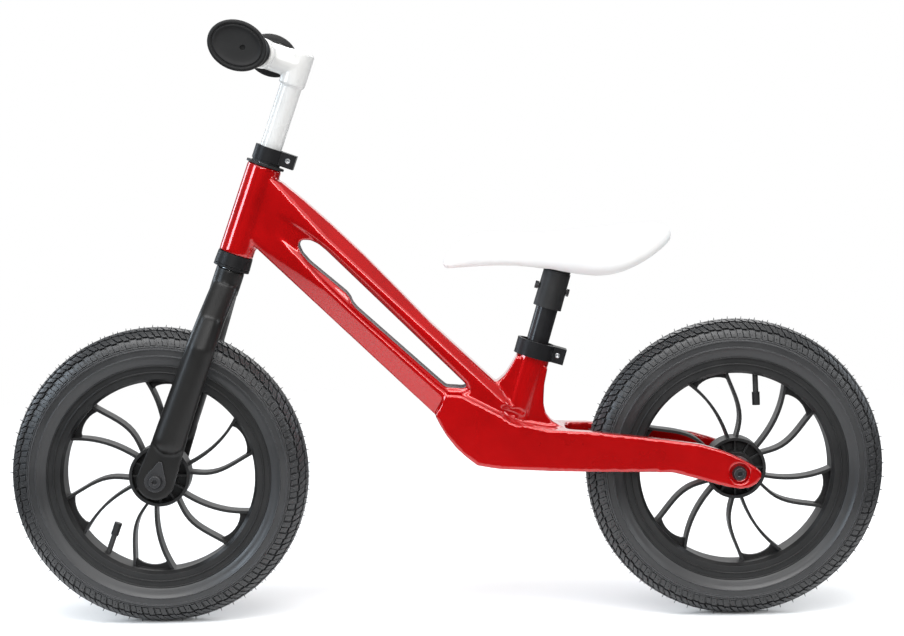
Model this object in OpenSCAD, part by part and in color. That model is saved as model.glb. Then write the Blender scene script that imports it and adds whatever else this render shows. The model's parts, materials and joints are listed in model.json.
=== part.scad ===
// Balance bike for a small child: cast frame, steerable fork, two moulded wheels.
// Origin on the ground, midway between the axles.  +X to the rear wheel, +Y to the
// rider's right, +Z up.

/* [Overall] */
// Distance between the two axles
wheelbase = 575; // [560:1:640]
// Outer diameter of the tyres
tyre_d = 297; // [285:1:310]
// Lean of the steering axis back from vertical
head_tilt = 19.5; // [15:0.5:24]
// Lean of the seat post back from vertical
seat_tilt = 16.5; // [8:0.5:24]
// Radial gap of pieces that turn or slide in each other
run_fit = 0.05; // [0.02:0.01:0.1]
// Radial gap of pieces pressed or clamped together
press_gap = 0.02; // [0.01:0.01:0.04]

/* [Head tube and steering] */
// Axle to the foot of the head tube, along the steering axis
fork_length = 234.5; // [232:0.5:260]
// How far the steering axis passes behind the front axle
fork_offset = 2.2; // [0:0.1:8]
// Length of the head tube
head_length = 92.6; // [84:0.2:112]
// Radius of the head tube
head_r = 17.6; // [16.8:0.1:22]
// Radius of the bore through the head tube
head_bore_r = 15; // [14.6:0.1:15.4]
// Radius of the steerer tube
steerer_r = 12.7; // [12.4:0.1:13.1]
// Depth of the cup under the head tube
lower_cup_h = 12; // [10:0.5:16]
// Length of the bush pressed into the top of the head tube
bush_length = 20; // [10:1:30]

/* [Fork] */
// Thickness of the leg in line with the axle
leg_depth = 23; // [18:0.5:27]
// Width of the leg at its upper end
leg_top_w = 27; // [22:0.5:32]
// Width of the leg at its lower end
leg_low_w = 33; // [28:0.5:37]
// Radius of the flat dropout round the axle
dropout_r = 19; // [15:0.5:22]
// Thickness of the dropout
dropout_t = 5; // [4:0.5:8]

/* [Stem and handlebar] */
// Radius of the stem tube and of the handlebar
bar_r = 11.1; // [10.6:0.1:11.6]
// Radius of the stem's forward arm
arm_r = 14.3; // [13:0.1:17]
// Reach of the handlebar in front of the steering axis
bar_reach = 38.5; // [30:0.5:50]
// Height of the handlebar above the top of the steerer
bar_rise = 87; // [75:0.5:120]
// Depth of the stem tube inside the steerer
stem_insert = 65; // [50:1:90]
// Overall width of the handlebar over the grips
bar_width = 400; // [360:2:460]
// Length of each grip
grip_length = 112; // [95:1:125]
// Radius of the grip's sleeve
grip_r = 14.6; // [13.8:0.1:17]

/* [Frame] */
// Width of the beam
beam_w = 40; // [36:0.5:48]
// Distance of the seat tube's mouth in front of the rear axle
seat_ahead = 200; // [185:1:215]
// Height of the seat tube's mouth above the ground
seat_mouth_z = 262; // [250:1:285]
// Radius of the seat tube
seat_tube_r = 17; // [15.5:0.1:19]
// Underside of the stays above the ground
stay_floor = 152; // [146:1:156]
// Free space between the two dropouts, front and rear
dropout_gap = 80; // [76:1:90]
// Thickness of the stays at the rear axle
stay_end_t = 11; // [9:0.5:14]
// Free space between the tyre and the frame in front of it
tyre_clear = 20; // [12:1:26]

/* [Seat] */
// Radius of the seat post
post_r = 11.1; // [10.6:0.1:13]
// Depth of the post inside the seat tube
post_insert = 75; // [60:1:85]
// Post showing between the clamp and the saddle sleeve
post_show = 35; // [25:1:60]
// Length of the sleeve under the saddle
sleeve_length = 37; // [30:1:45]
// Length of the saddle
saddle_length = 229; // [200:1:250]
// Greatest width of the saddle
saddle_w = 138; // [120:1:160]

/* [Wheel] */
// Width of the tyre
tyre_w = 47; // [44:0.5:50]
// Thickness of the tyre's wall
tyre_wall = 5; // [4:0.25:6]
// Radius of the rim's flange
rim_r = 113.4; // [112.5:0.1:115]
// Radius of the open space inside the rim
window_r = 95.5; // [93:0.5:97]
// Width of the rim
rim_w = 38; // [36.5:0.5:40]
// Pairs of spokes in a wheel
spoke_pairs = 6; // [5:1:7]
// Thickness of a spoke
spoke_t = 2.8; // [2.4:0.1:4]
// Depth of a spoke along the axle
spoke_depth = 20; // [14:0.5:24]
// Radius of the hub's cup
hub_r = 30.5; // [27:0.5:34]
// Width of the hub's cup
hub_w = 28; // [24:0.5:36]

/* [Axles and bearings] */
// Radius of the axle
axle_r = 6; // [5.5:0.1:6.2]
// Outer radius of a ball bearing
bearing_r = 14; // [13.8:0.1:15]
// Width of a ball bearing
bearing_w = 8; // [7:0.5:9]
// Bearing's outer face from the middle of the hub
bearing_face = 22; // [20:0.5:26]
// Radius of the bolt in the end of the axle
bolt_r = 4; // [3:0.1:4.3]
// Radius of the bolt's head
bolt_head_r = 7.5; // [6.5:0.1:8.5]
// Height of the bolt's head
bolt_head_h = 4.6; // [3.5:0.1:6]

/* [Hidden] */
$fn = 64;
eps = 0.01;
piece_gap = 0.3;

wheel_r = tyre_d / 2;
front_axle_x = -wheelbase / 2;
rear_axle_x = wheelbase / 2;
seat_base = [rear_axle_x - seat_ahead, seat_mouth_z];

// A point x behind and z above the origin of an axis that leans back by tilt
function leaned(origin, tilt, x, z) =
    origin + [x * cos(tilt) + z * sin(tilt), -x * sin(tilt) + z * cos(tilt)];
head_base = leaned([front_axle_x, wheel_r], head_tilt, fork_offset, fork_length);
function head_point(x, z) = leaned(head_base, head_tilt, x, z);
function seat_point(x, z) = leaned(seat_base, seat_tilt, x, z);

// Steering heights, counted along the steering axis from the foot of the head tube
race_gap = 0.6;
race_h = 2.4;
cup_flange_r = 18.4;
race_z = -lower_cup_h - race_gap - race_h;
bush_flange_r = 19.2;
bush_flange_h = 2.2;
spacer_h = 2.2;
stem_clamp_h = 14.2;
stem_clamp_r = steerer_r + 2.6;
stem_clamp_ear = 27.7;
stem_clamp_bolt_x = 20.5;
stem_clamp_z = head_length + bush_flange_h + piece_gap + spacer_h;
steerer_top = stem_clamp_z + stem_clamp_h - 1.5;
bar_z = steerer_top + bar_rise;
neck_r = 14.5;
neck_h = 26;
neck_foot = race_z - neck_h;

// Headset balls
headset_ball_r = 2;
headset_ball_count = 20;
headset_ball_track = 15.3;
headset_ball_z = race_z + race_h + 2.9 + headset_ball_r;

// Hub and axle ends
half_gap = dropout_gap / 2;
bolt_hole_r = bolt_r + 0.2;
washer_t = 2.5;
bolt_reach = 16;
recess_r = 10;
recess_depth = 3;
race_wall = 1.75;
ball_r = 2.38;
ball_gap = 0.07;
ball_track = axle_r + press_gap + race_wall + ball_gap + ball_r;
balls_per_bearing = 8;
shield_t = 0.9;
spacer_r = 9;
spacer_nose_r = axle_r + 1.6;
hub_barrel_r = bearing_r + 3.5;

// Tyre section: a round body on two beads that stand between the rim's flanges
section_r = tyre_w / 2;
section_c = wheel_r - section_r;
bead_seat_r = 101.5;
flange_t = 2.4;
bead_out = rim_w / 2 - flange_t - piece_gap;
bead_in = bead_out - 5;
valve_r = 2.8;
valve_cap_r = 3.9;
valve_end = 64;
valve_cap_h = 13;
front_spoke_turn = 53;
rear_spoke_turn = 31.3;
front_valve_turn = 215;
rear_valve_turn = 13;
valve_lean = 15;

// Grips
grip_end_t = 5;
grip_end_r = 22;
grip_lip_t = 3;

// Places a shape drawn along Z on the steering axis or on the seat post's axis
module on_head() {
    translate([head_base[0], 0, head_base[1]]) rotate([0, head_tilt, 0]) children();
}
module on_seat() {
    translate([seat_base[0], 0, seat_base[1]]) rotate([0, seat_tilt, 0]) children();
}
// Stands a side outline up and gives it a width across the bike
module side_slab(width) {
    rotate([90, 0, 0]) linear_extrude(height = width, center = true) children();
}
// A cylinder across the bike, between two distances from the middle
module across(r, from, to) {
    translate([0, to, 0]) rotate([90, 0, 0]) cylinder(r = r, h = to - from);
}
// Copies of one side's piece on both sides of the bike
module both_sides() {
    children();
    mirror([0, 1, 0]) children();
}
module at_axle(x) {
    translate([x, 0, wheel_r]) children();
}

// Frame ------------------------------------------------------------------

keel = [30, stay_floor + 4];
beam_top_start = head_point(head_r, head_length - 9.4);
beam_top_end = seat_point(-29, -34);
beam_low_start = head_point(0, 21);
beam_low_end = keel + [-41, 50];
beam_angle = atan2(beam_top_end[1] - beam_top_start[1], beam_top_end[0] - beam_top_start[0]);
beam_run = norm(beam_top_end - beam_top_start);
crotch_x = rear_axle_x - wheel_r - tyre_clear;

// A point at a share of the way down the beam and a depth below its ridge line
function beam_point(share, depth) =
    beam_top_start + (beam_top_end - beam_top_start) * share
    + depth * [sin(beam_angle), -cos(beam_angle)];

// Side outline of the beam, slightly arched, ending inside the body below the seat tube
module beam_outline() {
    polygon([
        head_point(0, head_length - 9.4), beam_point(0.01, -1.4), beam_point(0.1, -3.2),
        beam_point(0.22, -4.2), beam_point(0.38, -3.9), beam_point(0.55, -1.7), beam_point(0.7, 0.5),
        beam_top_end, seat_point(0, -60), keel + [30, 30], beam_low_end + [8, -10],
        beam_low_end, beam_low_start
    ]);
}

// Cross-section of the beam: a narrow ridge, upright sides and a narrower belly
module beam_section() {
    half = beam_w / 2;
    ridge = 9;
    belly = 12;
    polygon([
        [-5, -ridge], [9, -half], [47, -half], [64, -belly], [130, -belly],
        [130, belly], [64, belly], [47, half], [9, half], [-5, ridge]
    ]);
}

// The beam tapers in plan as it reaches the head tube
module beam_plan() {
    half = beam_w / 2;
    neck = head_r - 3;
    start = head_base[0] - head_r;
    polygon([
        [start, -neck], [head_base[0] + 30, -neck], [head_base[0] + 90, -half], [rear_axle_x, -half],
        [rear_axle_x, half], [head_base[0] + 90, half], [head_base[0] + 30, neck], [start, neck]
    ]);
}

// The long slot through the beam: round at its upper end, with one jog in its floor
module beam_slot() {
    polygon([
        beam_point(0.197, 33.5), beam_point(0.191, 29.6), beam_point(0.197, 25.4),
        beam_point(0.217, 21), beam_point(0.243, 18.7), beam_point(0.274, 18.1),
        beam_point(0.928, 21.5), beam_point(0.936, 22.7), beam_point(0.93, 26.1),
        beam_point(0.886, 36.8), beam_point(0.861, 37.2), beam_point(0.487, 39.9),
        beam_point(0.461, 39), beam_point(0.443, 36.4), beam_point(0.421, 35.4),
        beam_point(0.264, 38), beam_point(0.224, 36.9)
    ]);
}

module beam() {
    difference() {
        intersection() {
            side_slab(beam_w) beam_outline();
            translate([beam_top_start[0], 0, beam_top_start[1]])
                rotate([0, 90 - beam_angle, 0])
                translate([0, 0, -80])
                linear_extrude(height = beam_run + 240) beam_section();
            linear_extrude(height = 600) beam_plan();
        }
        side_slab(beam_w + 2) beam_slot();
    }
}

// Side outline of the keel and the stays
module stay_outline() {
    ax = rear_axle_x;
    az = wheel_r;
    polygon([
        beam_low_end, keel + [-36, 40], keel + [-30, 30], keel + [-20, 17], keel + [-10, 8],
        keel, keel + [20, -3], [keel[0] + 50, stay_floor], [ax - 66, stay_floor - 1.5],
        [ax - 47, az - 3], [ax - 28, az - 8.5], [ax - 12, az - 13], [ax + 1, az - 15.3],
        [ax + 10, az - 14], [ax + 17, az - 10], [ax + 21.2, az - 4.5], [ax + 21.5, az + 1],
        [ax + 17, az + 5.5], [ax + 10, az + 10], [ax + 2, az + 14.5], [ax - 8, az + 19.5],
        [ax - 18, az + 23.5], [ax - 38, az + 29.5], [ax - 58, az + 32.5], [ax - 98, az + 37.5],
        [ax - 145, az + 42.5], [keel[0] + 70, az + 44.5], [keel[0] + 45, az + 49.5],
        [keel[0] + 20, az + 60], [keel[0] - 5, az + 73], beam_low_end + [14, 26]
    ]);
}

// Plan of the keel and the stays: one body that forks round the tyre
module stay_plan() {
    half = beam_w / 2;
    outer = half_gap + stay_end_t;
    inner = half_gap;
    room = section_r + 6.5;
    side = [
        [beam_low_end[0] - 20, half], [keel[0], half + 4], [keel[0] + 35, half + 11],
        [keel[0] + 70, half + 19], [rear_axle_x - 145, half + 25.5], [rear_axle_x - 90, outer - 2],
        [rear_axle_x - 45, outer], [rear_axle_x + 40, outer], [rear_axle_x + 40, inner],
        [rear_axle_x - 45, inner], [rear_axle_x - 90, room + 4], [rear_axle_x - 145, room],
        [crotch_x + 6, room - 4], [crotch_x + 1.5, room - 10], [crotch_x, room - 18]
    ];
    polygon(concat(side, [for (i = [len(side) - 1 : -1 : 0]) [side[i][0], -side[i][1]]]));
}

module stays() {
    intersection() {
        side_slab(3 * dropout_gap) stay_outline();
        linear_extrude(height = 400) stay_plan();
    }
}

// Root of the seat tube, flared forward onto the beam and back onto the stays
module seat_root_outline() {
    foot = wheel_r + 44;
    polygon([
        seat_point(-seat_tube_r + 0.5, -2), seat_point(-19.5, -14), seat_point(-23, -25), beam_top_end,
        beam_top_end + [4, -22], [keel[0] + 45, foot], [crotch_x - 2, foot - 1],
        [crotch_x - 14, foot + 6], [crotch_x - 20, foot + 14], [crotch_x - 22, foot + 24],
        [crotch_x - 21, foot + 42], seat_point(seat_tube_r - 0.5, -6)
    ]);
}

seat_bore_depth = post_insert + 22;

module frame_casting() {
    color("#c8102e")
    difference() {
        union() {
            on_head() cylinder(r = head_r, h = head_length);
            beam();
            stays();
            side_slab(26) seat_root_outline();
            on_seat() translate([0, 0, -62]) cylinder(r = seat_tube_r, h = 76);
        }
        on_head() translate([0, 0, -eps]) cylinder(r = head_bore_r, h = head_length + 2 * eps);
        on_seat() translate([0, 0, -seat_bore_depth]) cylinder(r = post_r + run_fit, h = 200);
        on_seat() translate([seat_tube_r, 0, 0]) cube([2 * seat_tube_r, 3, 40], center = true);
        at_axle(rear_axle_x) across(bolt_hole_r, -90, 90);
        both_sides()
            at_axle(rear_axle_x) across(recess_r, half_gap + stay_end_t - recess_depth, 90);
    }
}

module upper_head_bush() {
    color("#1c1c1e")
    on_head() translate([0, 0, head_length - bush_length])
    difference() {
        union() {
            cylinder(r = head_bore_r - press_gap, h = bush_length + eps);
            translate([0, 0, bush_length]) cylinder(r = bush_flange_r, h = bush_flange_h);
        }
        translate([0, 0, -eps]) cylinder(r = steerer_r + run_fit, h = bush_length + 10);
    }
}

module lower_headset_cup() {
    track_roof = headset_ball_z + headset_ball_r + 0.15;
    color("#1c1c1e")
    on_head()
    difference() {
        union() {
            translate([0, 0, -lower_cup_h])
                cylinder(r1 = cup_flange_r, r2 = head_r + 0.1, h = lower_cup_h);
            cylinder(r = head_bore_r - press_gap, h = 9);
        }
        translate([0, 0, -20]) cylinder(r = steerer_r + 0.4, h = 60);
        translate([0, 0, -lower_cup_h - eps])
            cylinder(r = headset_ball_track + headset_ball_r + 0.15, h = lower_cup_h + track_roof);
    }
}

module headset_balls() {
    color("#b8bcc0")
    on_head()
    for (i = [0 : headset_ball_count - 1])
        rotate([0, 0, i * 360 / headset_ball_count])
            translate([headset_ball_track, 0, headset_ball_z]) sphere(r = headset_ball_r, $fn = 16);
}

// A split collar with two ears and a cross hole, mouth up, slot towards +X
module split_collar(outer_r, bore_r, height, ear_x, bolt_x) {
    slot_w = 2.4;
    difference() {
        union() {
            cylinder(r = outer_r, h = height);
            translate([0, -9, 0]) cube([ear_x, 18, height]);
        }
        translate([0, 0, -1]) cylinder(r = bore_r, h = height + 2);
        translate([0, -slot_w / 2, -1]) cube([ear_x + 5, slot_w, height + 2]);
        translate([bolt_x, 0, height / 2]) across(2.7, -20, 20);
        translate([bolt_x, 0, height / 2]) across(4.6, 5.5, 20);
    }
}

// The cross bolt of a split collar: head on the right, end showing on the left
module collar_bolt(height, bolt_x) {
    translate([bolt_x, 0, height / 2])
    difference() {
        union() {
            across(2.5, -9.3, 6);
            across(4.3, 5.6, 9.6);
        }
        translate([0, 10, 0]) rotate([90, 0, 0]) cylinder(r = 2.3, h = 3, $fn = 6);
    }
}

seat_clamp_h = 16;
seat_clamp_ear = 30.2;
seat_clamp_bolt_x = 22.5;

module seat_clamp() {
    color("#202022")
    on_seat()
        split_collar(seat_tube_r + 3, seat_tube_r + press_gap, seat_clamp_h, seat_clamp_ear,
                     seat_clamp_bolt_x);
}
module seat_clamp_bolt() {
    color("#a9adb2")
    on_seat() collar_bolt(seat_clamp_h, seat_clamp_bolt_x);
}

// Axles, bolts and bearings ----------------------------------------------

// An axle with a tapped hole in each end
module axle() {
    color("#9a9ea3")
    difference() {
        across(axle_r, -half_gap, half_gap);
        both_sides() across(bolt_r + press_gap, half_gap - bolt_reach - 4, half_gap + 1);
    }
}

// A button head bolt for each end of an axle, seated at a distance from the middle
module axle_bolts(seat) {
    color("#26272a")
    both_sides()
    difference() {
        union() {
            across(bolt_r, half_gap - bolt_reach, seat + eps);
            translate([0, seat, 0]) rotate([-90, 0, 0])
                cylinder(r1 = bolt_head_r, r2 = bolt_head_r - 1.8, h = bolt_head_h);
        }
        translate([0, seat + bolt_head_h + 1, 0]) rotate([90, 0, 0]) cylinder(r = 2.9, h = 4.4, $fn = 6);
    }
}

module bearing_inner_races() {
    color("#b8bcc0")
    both_sides()
    difference() {
        across(axle_r + press_gap + race_wall, bearing_face - bearing_w, bearing_face);
        across(axle_r + press_gap, -90, 90);
    }
}

// Outer races with a thin shield on each face
module bearing_outer_races() {
    color("#6d7075")
    both_sides()
    difference() {
        across(bearing_r, bearing_face - bearing_w, bearing_face);
        across(ball_track + ball_r + ball_gap, bearing_face - bearing_w + shield_t, bearing_face - shield_t);
        across(axle_r + press_gap + race_wall + 0.5, -90, 90);
    }
}

module bearing_balls() {
    color("#b8bcc0")
    both_sides()
    for (i = [0 : balls_per_bearing - 1])
        rotate([0, i * 360 / balls_per_bearing, 0])
            translate([ball_track, bearing_face - bearing_w / 2, 0]) sphere(r = ball_r, $fn = 16);
}

// A sleeve between the bearings and a stepped sleeve outside each of them
module axle_spacers() {
    color("#1f2022")
    difference() {
        union() {
            across(spacer_nose_r, -(bearing_face - bearing_w - eps), bearing_face - bearing_w - eps);
            both_sides() {
                across(spacer_nose_r, bearing_face + eps, bearing_face + 2);
                across(spacer_r, bearing_face + 1.5, half_gap - eps);
            }
        }
        across(axle_r + press_gap, -90, 90);
    }
}

module rear_axle() at_axle(rear_axle_x) axle();
module rear_axle_bolts() at_axle(rear_axle_x) axle_bolts(half_gap + stay_end_t - recess_depth + 0.05);
module rear_bearing_inner_races() at_axle(rear_axle_x) bearing_inner_races();
module rear_axle_spacers() at_axle(rear_axle_x) axle_spacers();
module front_axle() at_axle(front_axle_x) axle();
module front_axle_bolts() at_axle(front_axle_x) axle_bolts(half_gap + dropout_t + washer_t + 0.1);
module front_bearing_inner_races() at_axle(front_axle_x) bearing_inner_races();
module front_axle_spacers() at_axle(front_axle_x) axle_spacers();

// Teardrop washers with their points up the fork legs
module front_washers() {
    color("#3a3b3d")
    at_axle(front_axle_x)
    both_sides()
    translate([0, half_gap + dropout_t + 0.05, 0])
    rotate([0, head_tilt - 3, 0])
    difference() {
        union() {
            across(10.5, 0, washer_t);
            translate([0, washer_t, 0]) rotate([90, 0, 0])
                linear_extrude(height = washer_t)
                polygon([[-9.1, 5.2], [-1.5, 20], [1.5, 20], [9.1, 5.2]]);
        }
        across(bolt_hole_r, -1, washer_t + 1);
    }
}

// Fork -------------------------------------------------------------------

leg_y = half_gap + 2.5;
axle_drop = -fork_length;

// A flattened round slice of a leg at a place along the steering axis
module leg_slice(x, y, z, width, depth) {
    translate([x, y, z]) scale([width / 2, depth / 2, 6]) sphere(r = 1, $fn = 32);
}
function leg_x(z) = -fork_offset * z / axle_drop;

module fork() {
    shoulder_z = neck_foot - 40;
    nose_z = axle_drop + 42;
    crown_z = neck_foot + 6;
    color("#333436")
    on_head()
    difference() {
        union() {
            translate([0, 0, neck_foot]) cylinder(r = neck_r, h = neck_h);
            both_sides() {
                hull() {
                    leg_slice(0, 7, crown_z, leg_top_w, 20);
                    leg_slice(leg_x(shoulder_z + 16), leg_y - 8, shoulder_z + 16, leg_top_w, leg_depth);
                }
                hull() {
                    leg_slice(leg_x(shoulder_z + 16), leg_y - 8, shoulder_z + 16, leg_top_w, leg_depth);
                    leg_slice(leg_x(shoulder_z - 14), leg_y, shoulder_z - 14, leg_top_w + 2, leg_depth);
                }
                hull() {
                    leg_slice(leg_x(shoulder_z - 14), leg_y, shoulder_z - 14, leg_top_w + 2, leg_depth);
                    leg_slice(leg_x(nose_z), leg_y + 1, nose_z, leg_low_w, leg_depth);
                }
                dropout();
            }
        }
        translate([0, 0, neck_foot - 60]) cylinder(r = steerer_r + press_gap, h = 120);
        translate([-fork_offset, 0, axle_drop]) across(bolt_hole_r, -90, 90);
        // Room for the crown of the tyre
        translate([-fork_offset, 0, axle_drop]) across(wheel_r + 8, -section_r - 5, section_r + 5);
    }
}

// Flat end of a leg: a round plate with a tongue that runs up into the leg
module dropout() {
    top_w = leg_low_w - 1;
    translate([-fork_offset, half_gap + dropout_t, axle_drop]) rotate([90, 0, 0])
    linear_extrude(height = dropout_t)
    union() {
        circle(r = dropout_r);
        polygon([[-dropout_r, 0], [-top_w / 2 + 1, 50], [top_w / 2 + 1, 50], [dropout_r, 0]]);
    }
}

module steerer_tube() {
    color("#8d9196")
    on_head()
    difference() {
        translate([0, 0, neck_foot]) cylinder(r = steerer_r, h = steerer_top - neck_foot);
        translate([0, 0, neck_foot - 1]) cylinder(r = bar_r + run_fit, h = steerer_top - neck_foot + 2);
        translate([steerer_r, 0, steerer_top]) cube([steerer_r, 2, 44], center = true);
    }
}

module crown_race() {
    color("#2a2b2d")
    on_head()
    difference() {
        union() {
            translate([0, 0, race_z]) cylinder(r = cup_flange_r - 0.1, h = race_h);
            translate([0, 0, race_z + race_h - eps])
                cylinder(r = headset_ball_track + 1.4, h = 2.6);
        }
        translate([0, 0, race_z - 1]) cylinder(r = steerer_r + press_gap, h = 20);
    }
}

module clamp_spacer() {
    color("#1c1c1e")
    on_head() translate([0, 0, stem_clamp_z - spacer_h])
    difference() {
        cylinder(r = stem_clamp_r - 1, h = spacer_h - 0.05);
        translate([0, 0, -1]) cylinder(r = steerer_r + press_gap, h = 10);
    }
}
module stem_clamp() {
    color("#202022")
    on_head() translate([0, 0, stem_clamp_z])
        split_collar(stem_clamp_r, steerer_r + press_gap, stem_clamp_h, stem_clamp_ear,
                     stem_clamp_bolt_x);
}
module stem_clamp_bolt() {
    color("#a9adb2")
    on_head() translate([0, 0, stem_clamp_z]) collar_bolt(stem_clamp_h, stem_clamp_bolt_x);
}

// Stem, handlebar and grips ------------------------------------------------

socket_r = bar_r + 4;
socket_w = 44;
stem_top = bar_z + arm_r;

module stem() {
    head_low = bar_z - 20.5;
    stem_foot = steerer_top - stem_insert;
    color("#f2f2ef")
    on_head()
    difference() {
        union() {
            translate([0, 0, stem_foot]) cylinder(r = bar_r, h = bar_z - stem_foot);
            translate([0, 0, head_low]) cylinder(r = arm_r - 1, h = stem_top - head_low - 2);
            translate([0, 0, stem_top - 2 - eps]) cylinder(r1 = arm_r - 1, r2 = arm_r - 3, h = 2);
            translate([0, 0, bar_z]) rotate([0, -90, 0]) cylinder(r = arm_r - 0.6, h = bar_reach);
            translate([-bar_reach, 0, bar_z]) across(socket_r, -socket_w / 2, socket_w / 2);
        }
        translate([0, 0, stem_foot - 1]) cylinder(r = bar_r - 2, h = head_low - stem_foot);
        translate([-bar_reach, 0, bar_z]) across(bar_r + press_gap, -90, 90);
    }
}

module handlebar() {
    half = bar_width / 2 - grip_end_t - 1;
    color("#f2f2ef")
    on_head() translate([-bar_reach, 0, bar_z])
    difference() {
        across(bar_r, -half, half);
        across(bar_r - 1.6, -half - 1, half + 1);
    }
}

// One grip, on the right: ribbed sleeve with a small lip, and a long round safety end
module grip() {
    outer = bar_width / 2;
    root = outer - grip_length;
    on_head() translate([-bar_reach, 0, bar_z])
    difference() {
        union() {
            across(grip_r, root, outer - 1);
            across(grip_r + 0.9, root, root + grip_lip_t);
            rotate([0, 24 - head_tilt, 0]) translate([0, outer, 0]) rotate([90, 0, 0])
                linear_extrude(height = grip_end_t) grip_end_outline();
            for (k = [0 : 5])
                across(grip_r + 0.6, root + 14 + k * 14, root + 21 + k * 14);
        }
        across(bar_r + press_gap, root - 1, outer - grip_end_t - 0.5);
        across(2.5, outer - grip_end_t - 2, outer + 1);
    }
}
// The end stands forward of the bar and slopes down to the back
module grip_end_outline() {
    front = -10.3;
    back = -0.3;
    translate([front, 0]) circle(r = grip_end_r);
    translate([back, 0]) circle(r = grip_end_r);
    translate([front, -grip_end_r]) square([back - front, 2 * grip_end_r]);
}
module right_grip() color("#1a1a1b") grip();
module left_grip() color("#1a1a1b") mirror([0, 1, 0]) grip();

// Wheels -----------------------------------------------------------------

// A point in the wheel's plane, turned clockwise from the top as seen from the left
function wheel_point(r, turn) = [r * sin(turn), r * cos(turn)];

// How far each spoke of a pair has swept round by the time it has come in from the rim
spoke_out = window_r + 2;
spoke_in = hub_r - 2;
function inward(r) = (spoke_out - r) / (spoke_out - spoke_in);
function lead_sweep(r) = 16.5 * inward(r) + 0.9 * sin(180 * inward(r));
function trail_sweep(r) = 23.7 + 7.6 * inward(r) + 6.2 * sin(180 * pow(max(inward(r), 0), 1.8));
function sweep(kind, r) = kind == 0 ? lead_sweep(r) : trail_sweep(r);

spoke_steps = 12;
function spoke_r(i) = spoke_out + (spoke_in - spoke_out) * i / spoke_steps;
function spoke_mid(kind, r) = wheel_point(r, sweep(kind, r));
function spoke_edge(kind, i, side) =
    let (r = spoke_r(i), d = spoke_mid(kind, r - 1) - spoke_mid(kind, r + 1), l = norm(d))
    spoke_mid(kind, r) + side * spoke_t / 2 * [-d[1], d[0]] / l;

module spoke_outline(kind) {
    polygon(concat(
        [for (i = [0 : spoke_steps]) spoke_edge(kind, i, 1)],
        [for (i = [spoke_steps : -1 : 0]) spoke_edge(kind, i, -1)]
    ));
}

// Thin web with a scooped edge that joins the two spokes of a pair at the rim
module web_outline() {
    corner_r = 86.5;
    scoop = 5.5;
    steps = 8;
    first = lead_sweep(corner_r);
    last = trail_sweep(corner_r);
    polygon(concat(
        [for (i = [0 : steps])
            wheel_point(corner_r + scoop * pow(sin(180 * i / steps), 0.6),
                        first + (last - first) * i / steps)],
        [for (i = [steps : -1 : 0]) wheel_point(spoke_out, lead_sweep(spoke_out)
            + (trail_sweep(spoke_out) - lead_sweep(spoke_out)) * i / steps)]
    ));
}

module rim_section() {
    half = rim_w / 2;
    floor_r = 99.2;
    polygon([
        [window_r, -half + 5], [window_r + 3, -half], [rim_r, -half], [rim_r, -half + flange_t],
        [bead_seat_r, -half + flange_t], [bead_seat_r, -bead_in + 1], [floor_r, -bead_in + 4],
        [floor_r, bead_in - 4], [bead_seat_r, bead_in - 1], [bead_seat_r, half - flange_t],
        [rim_r, half - flange_t], [rim_r, half], [window_r + 3, half], [window_r, half - 5]
    ]);
}

// Turns a section drawn as distance from the axle and distance along it
module spun() {
    rotate([90, 0, 0]) rotate_extrude($fn = 128) children();
}

module wheel(spoke_turn, valve_turn) {
    ribs = 12;
    color("#2b2b2d")
    difference() {
        union() {
            spun() rim_section();
            rotate([0, spoke_turn, 0])
            for (k = [0 : spoke_pairs - 1]) rotate([0, k * 360 / spoke_pairs, 0]) {
                side_slab(spoke_depth) spoke_outline(0);
                side_slab(spoke_depth) spoke_outline(1);
                side_slab(4) web_outline();
            }
            difference() {
                across(hub_r, -hub_w / 2, hub_w / 2);
                both_sides() across(hub_r - 3, 3, hub_w);
            }
            across(hub_barrel_r, -bearing_face - 0.5, bearing_face + 0.5);
            for (k = [0 : ribs - 1]) rotate([0, k * 360 / ribs, 0])
                translate([hub_barrel_r - 1, -hub_w / 2 + 4, -1])
                    cube([hub_r - hub_barrel_r - 1, hub_w - 8, 2]);
        }
        across(spacer_nose_r + 1, -90, 90);
        both_sides() across(bearing_r + press_gap, bearing_face - bearing_w - 0.05, 90);
        rotate([0, valve_turn, 0]) at_valve()
            translate([0, 0, window_r - 5]) cylinder(r = valve_r + 0.1, h = 12);
    }
}

module tyre() {
    color("#232325")
    spun()
    difference() {
        union() {
            translate([section_c, 0]) circle(r = section_r);
            translate([bead_seat_r + piece_gap, -bead_out]) square([10, 2 * bead_out]);
        }
        translate([section_c, 0]) circle(r = section_r - tyre_wall);
        translate([0, -bead_in]) square([rim_r, 2 * bead_in]);
        translate([0, bead_out]) square([rim_r + piece_gap, tyre_w]);
        translate([0, -bead_out - tyre_w]) square([rim_r + piece_gap, tyre_w]);
        square([2 * (bead_seat_r + piece_gap), tyre_w], center = true);
    }
}

tube_r = section_r - tyre_wall - 1.5;
tube_c = section_c + 1.5 - piece_gap;
tube_foot = tube_c - tube_r;

module inner_tube() {
    color("#151516")
    spun()
    translate([tube_c, 0])
    difference() {
        circle(r = tube_r);
        circle(r = tube_r - 1.2);
    }
}

// The valve leans over at the rim, so that a pump can reach its end
module at_valve() {
    translate([0, 0, window_r]) rotate([0, -valve_lean, 0]) translate([0, 0, -window_r]) children();
}
module valve_stem() {
    color("#1b1b1c")
    at_valve() translate([0, 0, valve_end + 2]) cylinder(r = valve_r, h = tube_foot - valve_end - 2.3);
}
module valve_cap() {
    color("#151516")
    at_valve() difference() {
        translate([0, 0, valve_end]) cylinder(r = valve_cap_r, h = valve_cap_h);
        translate([0, 0, valve_end + 1.9]) cylinder(r = valve_r + press_gap, h = 20);
    }
}

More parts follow.
